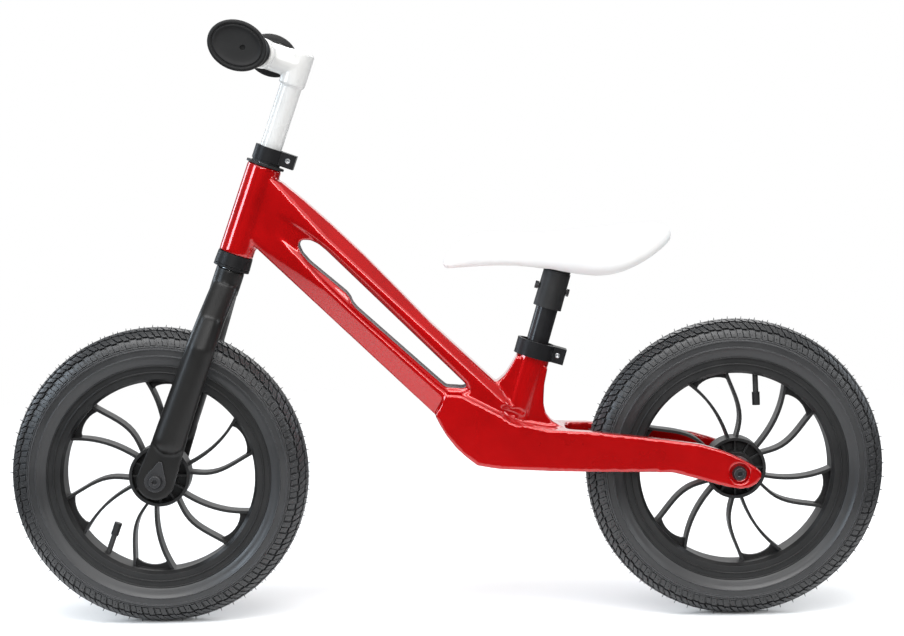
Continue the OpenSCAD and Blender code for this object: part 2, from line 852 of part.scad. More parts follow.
module front_wheel() at_axle(front_axle_x) wheel(front_spoke_turn, front_valve_turn);
module front_tyre() at_axle(front_axle_x) tyre();
module front_inner_tube() at_axle(front_axle_x) inner_tube();
module front_valve_stem() at_axle(front_axle_x) rotate([0, front_valve_turn, 0]) valve_stem();
module front_valve_cap() at_axle(front_axle_x) rotate([0, front_valve_turn, 0]) valve_cap();
module front_bearing_outer_races() at_axle(front_axle_x) bearing_outer_races();
module front_bearing_balls() at_axle(front_axle_x) bearing_balls();
module rear_wheel() at_axle(rear_axle_x) wheel(rear_spoke_turn, rear_valve_turn);
module rear_tyre() at_axle(rear_axle_x) tyre();
module rear_inner_tube() at_axle(rear_axle_x) inner_tube();
module rear_valve_stem() at_axle(rear_axle_x) rotate([0, rear_valve_turn, 0]) valve_stem();
module rear_valve_cap() at_axle(rear_axle_x) rotate([0, rear_valve_turn, 0]) valve_cap();
module rear_bearing_outer_races() at_axle(rear_axle_x) bearing_outer_races();
module rear_bearing_balls() at_axle(rear_axle_x) bearing_balls();

// Seat -------------------------------------------------------------------

sleeve_z = seat_clamp_h + post_show;
sleeve_top = sleeve_z + sleeve_length;
sleeve_r = post_r + 3;
post_top = sleeve_top - 4;

module seat_post() {
    color("#2a2b2e")
    on_seat()
    difference() {
        translate([0, 0, -post_insert]) cylinder(r = post_r, h = post_top + post_insert);
        translate([0, 0, -post_insert - 1]) cylinder(r = post_r - 2, h = post_top + post_insert + 2);
        translate([0, 0, sleeve_z + 19.5]) rotate([0, 90, 0]) cylinder(r = 2.6, h = 60, center = true);
    }
}

module post_plug() {
    color("#151516")
    on_seat() {
        translate([0, 0, -post_insert - 1]) cylinder(r = post_r - 2 - press_gap, h = 11);
        translate([0, 0, -post_insert - 2]) cylinder(r = post_r - 0.2, h = 2);
    }
}

module saddle_sleeve() {
    color("#1c1c1e")
    on_seat()
    difference() {
        translate([0, 0, sleeve_z]) cylinder(r1 = sleeve_r + 0.2, r2 = sleeve_r - 0.3, h = sleeve_length);
        translate([0, 0, sleeve_z - 1]) cylinder(r = post_r + press_gap, h = post_top - sleeve_z + 1.1);
        translate([0, 0, sleeve_z + 19.5]) rotate([0, 90, 0]) cylinder(r = 2.6, h = 60, center = true);
    }
}

// Cross bolt through sleeve and post: head in front, nut behind
module sleeve_bolt() {
    color("#17171a")
    on_seat() translate([0, 0, sleeve_z + 19.5]) rotate([0, 90, 0]) {
        translate([0, 0, -sleeve_r - 1]) cylinder(r = 2.5, h = 2 * sleeve_r + 2);
        translate([0, 0, -sleeve_r - 3.8]) cylinder(r = 3.8, h = 3.5);
        translate([0, 0, sleeve_r + 0.3]) cylinder(r = 3.8, h = 2.6, $fn = 6);
    }
}

// Saddle: stations along its length, from nose to tail.  t runs 0 to 1.
saddle_mid = seat_point(0, sleeve_top);
saddle_nose_x = saddle_mid[0] - 115.5;
saddle_low_z = saddle_mid[1] - 5;
pan_t = 3;

function smooth(t) = t * t * (3 - 2 * t);
function saddle_x(t) = saddle_nose_x + saddle_length * t;
// Half width in plan: a rounded nose, a slim neck, then a broad tail
function saddle_half(t) =
    (saddle_w / 2) * (0.16 + 0.2 * t + 0.64 * smooth(min(max((t - 0.34) / 0.44, 0), 1)))
    * pow(1 - pow(abs(2 * t - 1), 5), 0.4);
// Underside and top of the middle line, above the lowest point of the saddle
function saddle_floor(t) = 9 + 3 * sin(360 * t) - 5 * smooth(min(max((t - 0.3) / 0.4, 0), 1))
    + 34 * pow(max((t - 0.66) / 0.34, 0), 1.9);
function saddle_crown(t) = 13 + 33 * pow(sin(90 * min(t / 0.2, 1)), 0.62)
    - 2.5 * sin(180 * min(max((t - 0.2) / 0.5, 0), 1))
    + 6 * smooth(max((t - 0.4) / 0.6, 0)) - 6 * pow(max((t - 0.93) / 0.07, 0), 2);
// One ring of the saddle: flat below, domed above
saddle_sides = 28;
function saddle_ring(t, shrink) =
    [for (i = [0 : saddle_sides - 1])
        let (a = 360 * i / saddle_sides, lo = saddle_floor(t), hi = saddle_crown(t),
             mid = lo + (hi - lo) * 0.3, half = max(saddle_half(t) - shrink, 0.4),
             up = pow(abs(sin(a)), 0.75) * sign(sin(a)), out = pow(abs(cos(a)), 0.7) * sign(cos(a)))
        [saddle_x(t), half * out, saddle_low_z + mid
            + (up > 0 ? (hi - mid - shrink) : (mid - lo)) * up]];

saddle_stations = 26;
function saddle_t(i, from, to) = from + (to - from) * (0.5 - 0.5 * cos(180 * i / saddle_stations));

// A closed skin over a stack of rings
module ring_stack(rings) {
    n = len(rings[0]);
    m = len(rings);
    points = [for (ring = rings) for (p = ring) p];
    walls = [for (j = [0 : m - 2]) for (i = [0 : n - 1])
        [j * n + i, j * n + (i + 1) % n, (j + 1) * n + (i + 1) % n, (j + 1) * n + i]];
    ends = [[for (i = [n - 1 : -1 : 0]) i], [for (i = [0 : n - 1]) (m - 1) * n + i]];
    polyhedron(points = points, faces = concat(walls, ends), convexity = 6);
}

module saddle_cover() {
    color("#f4f3f0")
    difference() {
        ring_stack([for (i = [0 : saddle_stations]) saddle_ring(saddle_t(i, 0.004, 0.996), 0)]);
        saddle_pan_solid(piece_gap);
        on_seat() cylinder(r = sleeve_r + piece_gap, h = sleeve_top + piece_gap);
    }
}

// The stiff pan that the cover sits on, with a seat for the sleeve
module saddle_pan_solid(grow) {
    top = saddle_low_z + 19;
    translate([0, 0, top - pan_t - grow]) linear_extrude(height = pan_t + 2 * grow)
        polygon(concat(
            [for (i = [0 : 12]) [saddle_x(0.12 + i * 0.055), saddle_half(0.12 + i * 0.055) - 10 + grow]],
            [for (i = [12 : -1 : 0]) [saddle_x(0.12 + i * 0.055), -saddle_half(0.12 + i * 0.055) + 10 - grow]]
        ));
    on_seat() translate([0, 0, sleeve_top + piece_gap / 2]) cylinder(r = sleeve_r - 1 + grow, h = 10);
}
module saddle_pan() {
    color("#1c1c1e") saddle_pan_solid(0);
}

frame_casting();
upper_head_bush();
lower_headset_cup();
headset_balls();
seat_clamp();
seat_clamp_bolt();
rear_axle();
rear_axle_bolts();
rear_bearing_inner_races();
rear_axle_spacers();
fork();
steerer_tube();
crown_race();
clamp_spacer();
stem_clamp();
stem_clamp_bolt();
front_axle();
front_axle_bolts();
front_washers();
front_bearing_inner_races();
front_axle_spacers();
stem();
handlebar();
left_grip();
right_grip();
front_wheel();
front_tyre();
front_inner_tube();
front_valve_stem();
front_valve_cap();
front_bearing_outer_races();
front_bearing_balls();
rear_wheel();
rear_tyre();
rear_inner_tube();
rear_valve_stem();
rear_valve_cap();
rear_bearing_outer_races();
rear_bearing_balls();
seat_post();
post_plug();
saddle_sleeve();
sleeve_bolt();
saddle_pan();
saddle_cover();
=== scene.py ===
"""Looks of the balance bike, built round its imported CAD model."""

import json
import logging
import math
from dataclasses import dataclass, field
from enum import Enum
from typing import Callable, Iterable, Optional, Sequence

import bpy
from mathutils import Matrix, Vector


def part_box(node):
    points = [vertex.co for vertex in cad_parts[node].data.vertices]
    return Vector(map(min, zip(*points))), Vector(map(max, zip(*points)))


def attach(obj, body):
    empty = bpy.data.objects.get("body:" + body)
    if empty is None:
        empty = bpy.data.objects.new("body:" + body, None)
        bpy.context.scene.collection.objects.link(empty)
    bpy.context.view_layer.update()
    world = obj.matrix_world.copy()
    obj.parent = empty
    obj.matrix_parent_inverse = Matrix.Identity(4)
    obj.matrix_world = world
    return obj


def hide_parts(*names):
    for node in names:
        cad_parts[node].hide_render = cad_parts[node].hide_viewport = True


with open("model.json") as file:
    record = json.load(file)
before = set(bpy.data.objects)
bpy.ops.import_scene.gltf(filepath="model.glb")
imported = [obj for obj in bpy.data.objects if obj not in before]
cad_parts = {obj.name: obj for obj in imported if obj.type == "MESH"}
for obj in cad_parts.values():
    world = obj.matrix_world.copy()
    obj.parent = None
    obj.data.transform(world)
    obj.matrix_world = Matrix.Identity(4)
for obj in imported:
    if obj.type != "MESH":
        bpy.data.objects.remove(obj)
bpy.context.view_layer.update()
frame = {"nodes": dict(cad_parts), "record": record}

log = logging.getLogger("balance_bike")

MM = 0.001
MERGE_MADE = 0.00001
MERGE_CAD = 0.000002
ACROSS = Vector((0.0, 1.0, 0.0))
UPRIGHT = Vector((0.0, 0.0, 1.0))
Obj = bpy.types.Object
Node = bpy.types.Node
Socket = bpy.types.NodeSocket
NodeTree = bpy.types.NodeTree
Material = bpy.types.Material
Point2 = tuple[float, float]
Colour = tuple[float, float, float, float]

# The beam's ridge line in the middle plane, as (back, up) in millimetres.
RIDGE_START: Point2 = (-162.8, 441.4)
RIDGE_END: Point2 = (50.0, 237.6)


class Side(Enum):
    """The two sides of the bike, as seen by its rider."""

    LEFT = -1
    RIGHT = 1


class Wheel(Enum):
    """The two wheels, with the body that each one turns with."""

    FRONT = "front"
    REAR = "rear"

    @property
    def body(self) -> str:
        """Name of the wheel's body."""
        return f"{self.value}_wheel"


# Selection and mesh tools -----------------------------------------------------


def deselect() -> None:
    """Leaves edit mode and deselects every object."""
    active = bpy.context.view_layer.objects.active
    if active is not None and active.mode != "OBJECT":
        bpy.ops.object.mode_set(mode="OBJECT")
    bpy.ops.object.select_all(action="DESELECT")


def activate(obj: Obj) -> None:
    """Makes one object the only selected and the active one.

    Args:
        obj: The object to work on.
    """
    deselect()
    obj.select_set(True)
    bpy.context.view_layer.objects.active = obj


def edit(obj: Obj, select: str = "SELECT") -> None:
    """Opens an object in edit mode.

    Args:
        obj: The object to edit.
        select: SELECT or DESELECT, for all of its mesh.
    """
    activate(obj)
    bpy.ops.object.mode_set(mode="EDIT")
    bpy.ops.mesh.select_all(action=select)


def pick_faces(obj: Obj, wanted: Callable[[bpy.types.MeshPolygon], bool]) -> None:
    """Selects the faces that meet a condition and stays in edit mode.

    Args:
        obj: The object whose faces are picked.
        wanted: Tells whether a face is picked.
    """
    edit(obj, "DESELECT")
    bpy.ops.mesh.select_mode(type="FACE")
    close_edit()
    for face in obj.data.polygons:
        face.select = wanted(face)
    bpy.ops.object.mode_set(mode="EDIT")


def close_edit() -> None:
    """Goes back to object mode."""
    bpy.ops.object.mode_set(mode="OBJECT")


def clean(obj: Obj) -> None:
    """Merges doubled points and turns every face outwards."""
    edit(obj)
    bpy.ops.mesh.remove_doubles(threshold=MERGE_MADE)
    bpy.ops.mesh.normals_make_consistent(inside=False)
    close_edit()


def apply_modifier(obj: Obj, kind: str, **settings: object) -> None:
    """Adds a modifier with its settings and applies it.

    Args:
        obj: The object to change.
        kind: The modifier's type.
        settings: Values of the modifier's properties.
    """
    modifier = obj.modifiers.new(kind.title(), kind)
    for name, value in settings.items():
        setattr(modifier, name, value)
    activate(obj)
    bpy.ops.object.modifier_apply(modifier=modifier.name)


def settle(obj: Obj) -> None:
    """Moves an object's place into its mesh, so that the object sits at the origin."""
    activate(obj)
    bpy.ops.object.transform_apply(location=True, rotation=True, scale=True)


def join(objects: Sequence[Obj], name: str) -> Obj:
    """Joins objects into the first one.

    Args:
        objects: The objects to join.
        name: Name of the joined object.
    """
    deselect()
    for obj in objects:
        obj.select_set(True)
    bpy.context.view_layer.objects.active = objects[0]
    bpy.ops.object.join()
    objects[0].name = name
    return objects[0]


def smooth(obj: Obj, angle: float = 180.0) -> None:
    """Shades an object smooth, keeping edges sharper than an angle.

    Args:
        obj: The object to shade.
        angle: Edges over this angle stay sharp, in degrees.
    """
    activate(obj)
    if angle >= 180:
        bpy.ops.object.shade_smooth()
    else:
        bpy.ops.object.shade_smooth_by_angle(angle=math.radians(angle))


def cad_copy(node: str, name: str) -> Obj:
    """Copies a CAD node's mesh into a new piece, with its loose triangles merged.

    Args:
        node: The CAD node.
        name: Name of the new piece.
    """
    mesh = frame["nodes"][node].data.copy()
    mesh.materials.clear()
    obj = bpy.data.objects.new(name, mesh)
    bpy.context.collection.objects.link(obj)
    edit(obj)
    bpy.ops.mesh.customdata_custom_splitnormals_clear()
    bpy.ops.mesh.remove_doubles(threshold=MERGE_CAD)
    close_edit()
    return obj


def round_over(obj: Obj, voxel: float, passes: int) -> None:
    """Rounds a piece's edges and fills its corners, as a casting or moulding has them.

    Args:
        obj: The piece to round.
        voxel: Size of the new mesh's faces, in millimetres.
        passes: Number of smoothing passes.
    """
    apply_modifier(obj, "REMESH", mode="VOXEL", voxel_size=voxel * MM, adaptivity=0.0)
    apply_modifier(obj, "SMOOTH", factor=0.5, iterations=passes)
    smooth(obj)


def cut(obj: Obj, cutter: Obj) -> None:
    """Cuts one solid out of another and removes the cutter.

    Args:
        obj: The piece that is cut.
        cutter: The solid to take away.
    """
    apply_modifier(obj, "BOOLEAN", operation="DIFFERENCE", object=cutter, solver="EXACT")
    bpy.data.objects.remove(cutter, do_unlink=True)


def cylinder(radius: float, depth: float, place: Vector, turn: Sequence[float], sides: int) -> Obj:
    """Makes a cylinder or a prism, with its place moved into its mesh.

    Args:
        radius: Its radius, in millimetres.
        depth: Its length, in millimetres.
        place: Its middle, in metres.
        turn: Its rotation, as three angles.
        sides: Its number of sides.
    """
    deselect()
    size = {"radius": radius * MM, "depth": depth * MM}
    bpy.ops.mesh.primitive_cylinder_add(vertices=sides, location=place, rotation=turn, **size)
    made = bpy.context.object
    settle(made)
    return made


def loop_piece(name: str, points: Sequence[Vector]) -> Obj:
    """Makes a closed loop of edges from a circle primitive.

    Args:
        name: Name of the piece.
        points: The loop's corners, in order, in metres.
    """
    deselect()
    bpy.ops.mesh.primitive_circle_add(vertices=len(points), radius=0.01)
    obj = bpy.context.object
    obj.name = name
    for vertex, place in zip(obj.data.vertices, points):
        vertex.co = place
    return obj


def turned(
    name: str,
    section: Sequence[Point2],
    centre: Vector,
    axis: Vector,
    steps: int,
    start: Optional[Vector] = None,
) -> Obj:
    """Turns a closed section round an axis with the spin tool.

    Args:
        name: Name of the piece.
        section: Corners as (radius, distance along the axis), in millimetres.
        centre: A point of the axis, in metres.
        axis: Direction of the axis.
        steps: Number of steps in the full turn.
        start: Direction in which the section is drawn; across the axis by default.
    """
    along = axis.normalized()
    out = start if start is not None else along.orthogonal().normalized()
    points = [centre + out * (r * MM) + along * (d * MM) for r, d in section]
    obj = loop_piece(name, points)
    edit(obj)
    bpy.ops.mesh.spin(steps=steps, angle=math.tau, center=centre, axis=along)
    close_edit()
    clean(obj)
    return obj


def ball(name: str, centre: Vector, sizes: Vector, turn: Matrix) -> Obj:
    """Makes an egg-shaped cutter.

    Args:
        name: Name of the piece.
        centre: Its middle, in metres.
        sizes: Its three half sizes, in metres.
        turn: Its rotation.
    """
    deselect()
    bpy.ops.mesh.primitive_uv_sphere_add(segments=48, ring_count=24, radius=1.0)
    obj = bpy.context.object
    obj.name = name
    place = Matrix.Translation(centre) @ turn.to_4x4() @ Matrix.Diagonal(sizes).to_4x4()
    obj.data.transform(place)
    return obj


def place_piece(obj: Obj, body: str, slot: str, nodes: Iterable[str], finishes: "Finishes") -> None:
    """Dresses a finished piece and ties it to its body.

    Args:
        obj: The piece.
        body: The CAD body that it moves with.
        slot: The record's material slot.
        nodes: CAD nodes that it stands for.
        finishes: The built materials.
    """
    obj.data.materials.clear()
    obj.data.materials.append(finishes[slot])
    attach(obj, body)
    for node in nodes:
        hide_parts(node)
    log.info("%s: %d faces, rides on %s", obj.name, len(obj.data.polygons), body)


# Shader groups ----------------------------------------------------------------


class Tree:
    """A short way to write a node tree."""

    def __init__(self, tree: NodeTree) -> None:
        """Takes hold of a tree."""
        self.tree = tree

    def add(self, kind: str, settings: Optional[dict] = None, **inputs: object) -> Node:
        """Adds a node.

        Args:
            kind: The node's type, without the leading ShaderNode.
            settings: Values of the node's own properties.
            inputs: Values or sockets for its inputs, with underscores for spaces.
        """
        node = self.tree.nodes.new(f"ShaderNode{kind}")
        for name, value in (settings or {}).items():
            setattr(node, name, value)
        for name, value in inputs.items():
            self.feed(node, name.replace("_", " "), value)
        return node

    def feed(self, node: Node, name: object, value: object) -> None:
        """Sets an input or links a socket to it.

        Args:
            node: The node whose input is set.
            name: The input's name or number.
            value: A value, or the socket to link.
        """
        if isinstance(value, Socket):
            self.tree.links.new(value, node.inputs[name])
        else:
            node.inputs[name].default_value = value

    def math(self, operation: str, *values: object, clamp: bool = False) -> Socket:
        """Adds a Math node.

        Args:
            operation: The operation's name.
            values: Its inputs, in order.
            clamp: Whether the result is kept between 0 and 1.
        """
        node = self.add("Math", {"operation": operation, "use_clamp": clamp})
        for index, value in enumerate(values):
            self.feed(node, index, value)
        return node.outputs[0]

    def ramp(self, value: object, low: float, high: float, to: Point2 = (0.0, 1.0)) -> Socket:
        """Maps a range smoothly onto another.

        Args:
            value: The value to map.
            low: Start of the range.
            high: End of the range.
            to: The two results.
        """
        node = self.add("MapRange", {"interpolation_type": "SMOOTHSTEP"})
        for name, item in zip(("Value", "From Min", "From Max", "To Min", "To Max"), (value, low, high, *to)):
            self.feed(node, name, item)
        return node.outputs[0]

    def mix(self, share: object, first: object, second: object) -> Socket:
        """Mixes two colours.

        Args:
            share: Share of the second colour.
            first: The first colour.
            second: The second colour.
        """
        node = self.add("Mix", {"data_type": "RGBA"})
        self.feed(node, 0, share)
        self.feed(node, 6, first)
        self.feed(node, 7, second)
        return node.outputs[2]

    def place(self) -> Socket:
        """The shaded point's place on the object."""
        return self.add("TexCoord").outputs["Object"]

    def group(self, source: NodeTree, **inputs: object) -> Node:
        """Places a node group.

        Args:
            source: The group.
            inputs: Values or sockets for its inputs.
        """
        node = self.add("Group", {"node_tree": source})
        for name, value in inputs.items():
            self.feed(node, name.replace("_", " "), value)
        return node


def new_group(
    name: str, inputs: Sequence[tuple[str, float]], outputs: Sequence[tuple[str, str]]
) -> tuple[Tree, Node, Node]:
    """Starts a shader node group.

    Args:
        name: The group's name.
        inputs: Names and values of its number inputs.
        outputs: Names and socket kinds of its outputs.
    """
    group = bpy.data.node_groups.new(name, "ShaderNodeTree")
    for label, value in inputs:
        socket = group.interface.new_socket(label, in_out="INPUT", socket_type="NodeSocketFloat")
        socket.default_value = value
    for label, kind in outputs:
        group.interface.new_socket(label, in_out="OUTPUT", socket_type=f"NodeSocket{kind}")
    tree = Tree(group)
    return tree, group.nodes.new("NodeGroupInput"), group.nodes.new("NodeGroupOutput")


class Effects:
    """Surface effects that several finishes share, each built once as a node group."""

    def __init__(self) -> None:
        """Builds every group."""
        self.grain = self._grain()
        self.mottle = self._mottle()
        self.scuffs = self._scuffs()
        self.edges = self._edges()
        self.dust = self._dust()

    @staticmethod
    def _grain() -> NodeTree:
        """Fine grain of a moulded or coated surface."""
        inputs = [("Scale", 900.0), ("Waviness", 60.0)]
        tree, given, made = new_group("Fine grain", inputs, [("Height", "Float")])
        place = tree.place()
        fine = tree.add("TexNoise", Vector=place, Scale=given.outputs["Scale"], Detail=3.0, Roughness=0.6)
        broad = tree.add("TexNoise", Vector=place, Scale=given.outputs["Waviness"], Detail=1.0)
        small = tree.math("MULTIPLY", fine.outputs[0], 0.5)
        tree.feed(made, "Height", tree.math("ADD", small, tree.math("MULTIPLY", broad.outputs[0], 0.9)))
        return tree.tree

    @staticmethod
    def _mottle() -> NodeTree:
        """Slow changes of tone over a surface."""
        tree, given, made = new_group("Tone changes", [("Scale", 14.0)], [("Value", "Float")])
        place = tree.place()
        broad = tree.add("TexNoise", Vector=place, Scale=given.outputs["Scale"], Detail=4.0, Roughness=0.55)
        tree.feed(made, "Value", tree.ramp(broad.outputs[0], 0.3, 0.7))
        return tree.tree

    @staticmethod
    def _scuffs() -> NodeTree:
        """Sparse hairline marks left by handling."""
        inputs = [("Scale", 40.0), ("Amount", 0.5)]
        tree, given, made = new_group("Handling marks", inputs, [("Mask", "Float")])
        place = tree.place()
        bent = tree.add("TexNoise", Vector=place, Scale=9.0, Detail=1.0)
        moved = tree.add("VectorMath", {"operation": "ADD"})
        tree.feed(moved, 0, place)
        tree.feed(moved, 1, bent.outputs["Color"])
        long = tree.add("Mapping", Vector=moved.outputs[0], Scale=(0.25, 1.4, 5.0), Rotation=(0.4, 0.9, 0.2))
        size = given.outputs["Scale"]
        lines = tree.add("TexNoise", Vector=long.outputs[0], Scale=size, Detail=5.0, Roughness=0.7)
        off = tree.math("ABSOLUTE", tree.math("SUBTRACT", lines.outputs[0], 0.5))
        hair = tree.math("SUBTRACT", 1.0, tree.math("MULTIPLY", off, 90.0), clamp=True)
        where = tree.ramp(tree.add("TexNoise", Vector=place, Scale=22.0, Detail=2.0).outputs[0], 0.54, 0.68)
        marks = tree.math("MULTIPLY", hair, where)
        tree.feed(made, "Mask", tree.math("MULTIPLY", marks, given.outputs["Amount"]))
        return tree.tree

    @staticmethod
    def _edges() -> NodeTree:
        """Small rounding at edges, and a mask of them."""
        outputs = [("Normal", "Vector"), ("Mask", "Float")]
        tree, given, made = new_group("Rounded edges", [("Radius", 0.0006)], outputs)
        bevel = tree.add("Bevel", {"samples": 4}, Radius=given.outputs["Radius"])
        true = tree.add("NewGeometry").outputs["Normal"]
        dot = tree.add("VectorMath", {"operation": "DOT_PRODUCT"})
        tree.feed(dot, 0, bevel.outputs[0])
        tree.feed(dot, 1, true)
        tree.feed(made, "Normal", bevel.outputs[0])
        tree.feed(made, "Mask", tree.ramp(dot.outputs["Value"], 0.99, 0.9))
        return tree.tree

    @staticmethod
    def _dust() -> NodeTree:
        """A film of fine dust, stronger where a surface faces up."""
        tree, given, made = new_group("Dust film", [("Amount", 0.2)], [("Mask", "Float")])
        normal = tree.add("SeparateXYZ", Vector=tree.add("NewGeometry").outputs["Normal"]).outputs["Z"]
        place = tree.place()
        patch = tree.add("TexNoise", Vector=place, Scale=55.0, Detail=6.0, Roughness=0.65)
        up = tree.ramp(normal, -0.4, 1.0, (0.25, 1.0))
        mask = tree.math("MULTIPLY", tree.ramp(patch.outputs[0], 0.35, 0.75), up)
        tree.feed(made, "Mask", tree.math("MULTIPLY", mask, given.outputs["Amount"]))
        return tree.tree


# Finishes ---------------------------------------------------------------------


@dataclass(frozen=True)
class Finish:
    """A finish with two tones, a grain, an edge colour, marks and a little dust; the edge colour is wear on
    most finishes and a painted highlight on the tyre.
    """

    name: str
    colour: Colour
    second: Colour
    # Colour at edges and marks: wear, and on the tyre a painted highlight.
    wear_and_highlight_edge: Colour
    roughness: Point2
    metallic: float = 0.0
    grain_scale: float = 900.0
    grain_wave: float = 60.0
    grain_height: float = 0.00002
    edge_radius: float = 0.0006
    wear_and_highlight_amount: float = 0.3
    mark_amount: float = 0.3
    dust: float = 0.05
    dust_colour: Colour = (0.42, 0.41, 0.39, 1.0)
    coat: float = 0.0
    coat_roughness: float = 0.05
    coat_ior: float = 1.5
    specular: float = 0.5
    sheen: float = 0.0
    subsurface: float = 0.0

    def build(self, effects: Effects) -> Material:
        """Builds the material."""
        material = bpy.data.materials.new(self.name)
        material.use_nodes = True
        material.diffuse_color = self.colour
        tree = Tree(material.node_tree)
        shader = material.node_tree.nodes["Principled BSDF"]
        tone = tree.group(effects.mottle, Scale=16.0).outputs[0]
        edges = tree.group(effects.edges, Radius=self.edge_radius)
        marks = tree.group(effects.scuffs, Scale=40.0, Amount=self.mark_amount).outputs[0]
        dust = tree.group(effects.dust, Amount=self.dust).outputs[0]
        grain = tree.group(effects.grain, Scale=self.grain_scale, Waviness=self.grain_wave).outputs[0]
        base = tree.mix(tone, self.colour, self.second)
        base = self.extra_colour(tree, base)
        # Blends the edge colour in at rounded edges: worn edges on most finishes, a painted highlight along
        # the tyre's tread blocks.
        base = tree.mix(tree.math("MULTIPLY", edges.outputs["Mask"], self.wear_and_highlight_amount), base, self.wear_and_highlight_edge)
        base = tree.mix(tree.math("MULTIPLY", marks, 0.35), base, self.wear_and_highlight_edge)
        base = tree.mix(dust, base, self.dust_colour)
        tree.feed(shader, "Base Color", base)
        rough = tree.ramp(tone, 0.0, 1.0, self.roughness)
        rough = tree.math("ADD", rough, tree.math("MULTIPLY", marks, 0.15))
        rough = tree.math("ADD", rough, tree.math("MULTIPLY", dust, 0.35), clamp=True)
        tree.feed(shader, "Roughness", self.extra_roughness(tree, rough))
        bump = tree.add("Bump", Strength=0.6, Distance=self.grain_height)
        tree.feed(bump, "Height", self.extra_height(tree, grain))
        tree.feed(bump, "Normal", edges.outputs["Normal"])
        tree.feed(shader, "Normal", bump.outputs[0])
        if self.coat:
            tree.feed(shader, "Coat Normal", edges.outputs["Normal"])
        plain = {
            "Metallic": self.metallic, "Coat Weight": self.coat, "Coat Roughness": self.coat_roughness,
            "Coat IOR": self.coat_ior, "Specular IOR Level": self.specular, "Sheen Weight": self.sheen,
            "Subsurface Weight": self.subsurface,
        }
        if self.subsurface:
            plain.update({"Subsurface Radius": (0.018, 0.016, 0.015), "Subsurface Scale": 1.0})
        for name, value in plain.items():
            tree.feed(shader, name, value)
        return material

    def extra_colour(self, tree: Tree, base: Socket) -> Socket:
        """Lets a kind of finish change the base colour; this one leaves it."""
        return base

    def extra_roughness(self, tree: Tree, rough: Socket) -> Socket:
        """Lets a kind of finish change the roughness; this one leaves it."""
        return rough

    def extra_height(self, tree: Tree, height: Socket) -> Socket:
        """Lets a kind of finish add to the surface's height; this one leaves it."""
        return height


@dataclass(frozen=True)
class BrushedFinish(Finish):
    """Metal with fine turned or drawn lines."""

    line_scale: float = 700.0

    def extra_height(self, tree: Tree, height: Socket) -> Socket:
        """Adds fine parallel lines."""
        place = tree.place()
        drawn = tree.add("Mapping", Vector=place, Scale=(1.0, 14.0, 1.0))
        lines = tree.add("TexNoise", Vector=drawn.outputs[0], Scale=self.line_scale, Detail=2.0)
        return tree.math("ADD", height, tree.math("MULTIPLY", lines.outputs[0], 0.8))


@dataclass(frozen=True)
class SlotPaint(Finish):
    """Gloss paint on the casting, with the walls of the long slot left bare."""

    bare: Colour = (0.20, 0.20, 0.205, 1.0)
    flank_limit: float = 0.45
    share_range: Point2 = (0.18, 0.95)
    depth_range: Point2 = (23.0, 42.5)
    half_wall: float = 0.0165

    def bare_mask(self, tree: Tree) -> Socket:
        """Finds the slot's walls from their place and the way they face."""
        run = Vector(RIDGE_END) - Vector(RIDGE_START)
        angle = math.atan2(run.y, run.x)
        length = run.length
        place = tree.add("SeparateXYZ", Vector=tree.place())
        across = tree.math("SUBTRACT", place.outputs["X"], RIDGE_START[0] * MM)
        up = tree.math("SUBTRACT", place.outputs["Z"], RIDGE_START[1] * MM)
        share = tree.math(
            "ADD",
            tree.math("MULTIPLY", across, math.cos(angle) / (length * MM)),
            tree.math("MULTIPLY", up, math.sin(angle) / (length * MM)),
        )
        depth = tree.math(
            "SUBTRACT",
            tree.math("MULTIPLY", across, math.sin(angle) / MM),
            tree.math("MULTIPLY", up, math.cos(angle) / MM),
        )
        facing = tree.add("SeparateXYZ", Vector=tree.add("NewGeometry").outputs["Normal"])
        flank = tree.math("ABSOLUTE", facing.outputs["Y"])
        inside = tree.math("LESS_THAN", flank, self.flank_limit)
        for value, (low, high) in ((share, self.share_range), (depth, self.depth_range)):
            inside = tree.math("MULTIPLY", inside, tree.math("GREATER_THAN", value, low))
            inside = tree.math("MULTIPLY", inside, tree.math("LESS_THAN", value, high))
        middle = tree.math("LESS_THAN", tree.math("ABSOLUTE", place.outputs["Y"]), self.half_wall)
        return tree.math("MULTIPLY", inside, middle)

    def build(self, effects: Effects) -> Material:
        """Builds the material, with no lacquer on the slot's walls."""
        material = super().build(effects)
        tree = Tree(material.node_tree)
        shader = material.node_tree.nodes["Principled BSDF"]
        painted = tree.math("SUBTRACT", 1.0, self.bare_mask(tree))
        tree.feed(shader, "Coat Weight", tree.math("MULTIPLY", painted, self.coat))
        tree.feed(shader, "Metallic", tree.math("MULTIPLY", painted, self.metallic))
        return material

    def extra_colour(self, tree: Tree, base: Socket) -> Socket:
        """Shows bare casting on the slot's walls."""
        return tree.mix(self.bare_mask(tree), base, self.bare)

    def extra_roughness(self, tree: Tree, rough: Socket) -> Socket:
        """Makes the bare walls dull."""
        return tree.math("MAXIMUM", rough, tree.math("MULTIPLY", self.bare_mask(tree), 0.7))


def rgb(red: float, green: float, blue: float) -> Colour:
    """A solid colour."""
    return red, green, blue, 1.0


BLACK_EDGE: Colour = rgb(0.10, 0.10, 0.105)
METAL_EDGE: Colour = rgb(0.75, 0.75, 0.77)

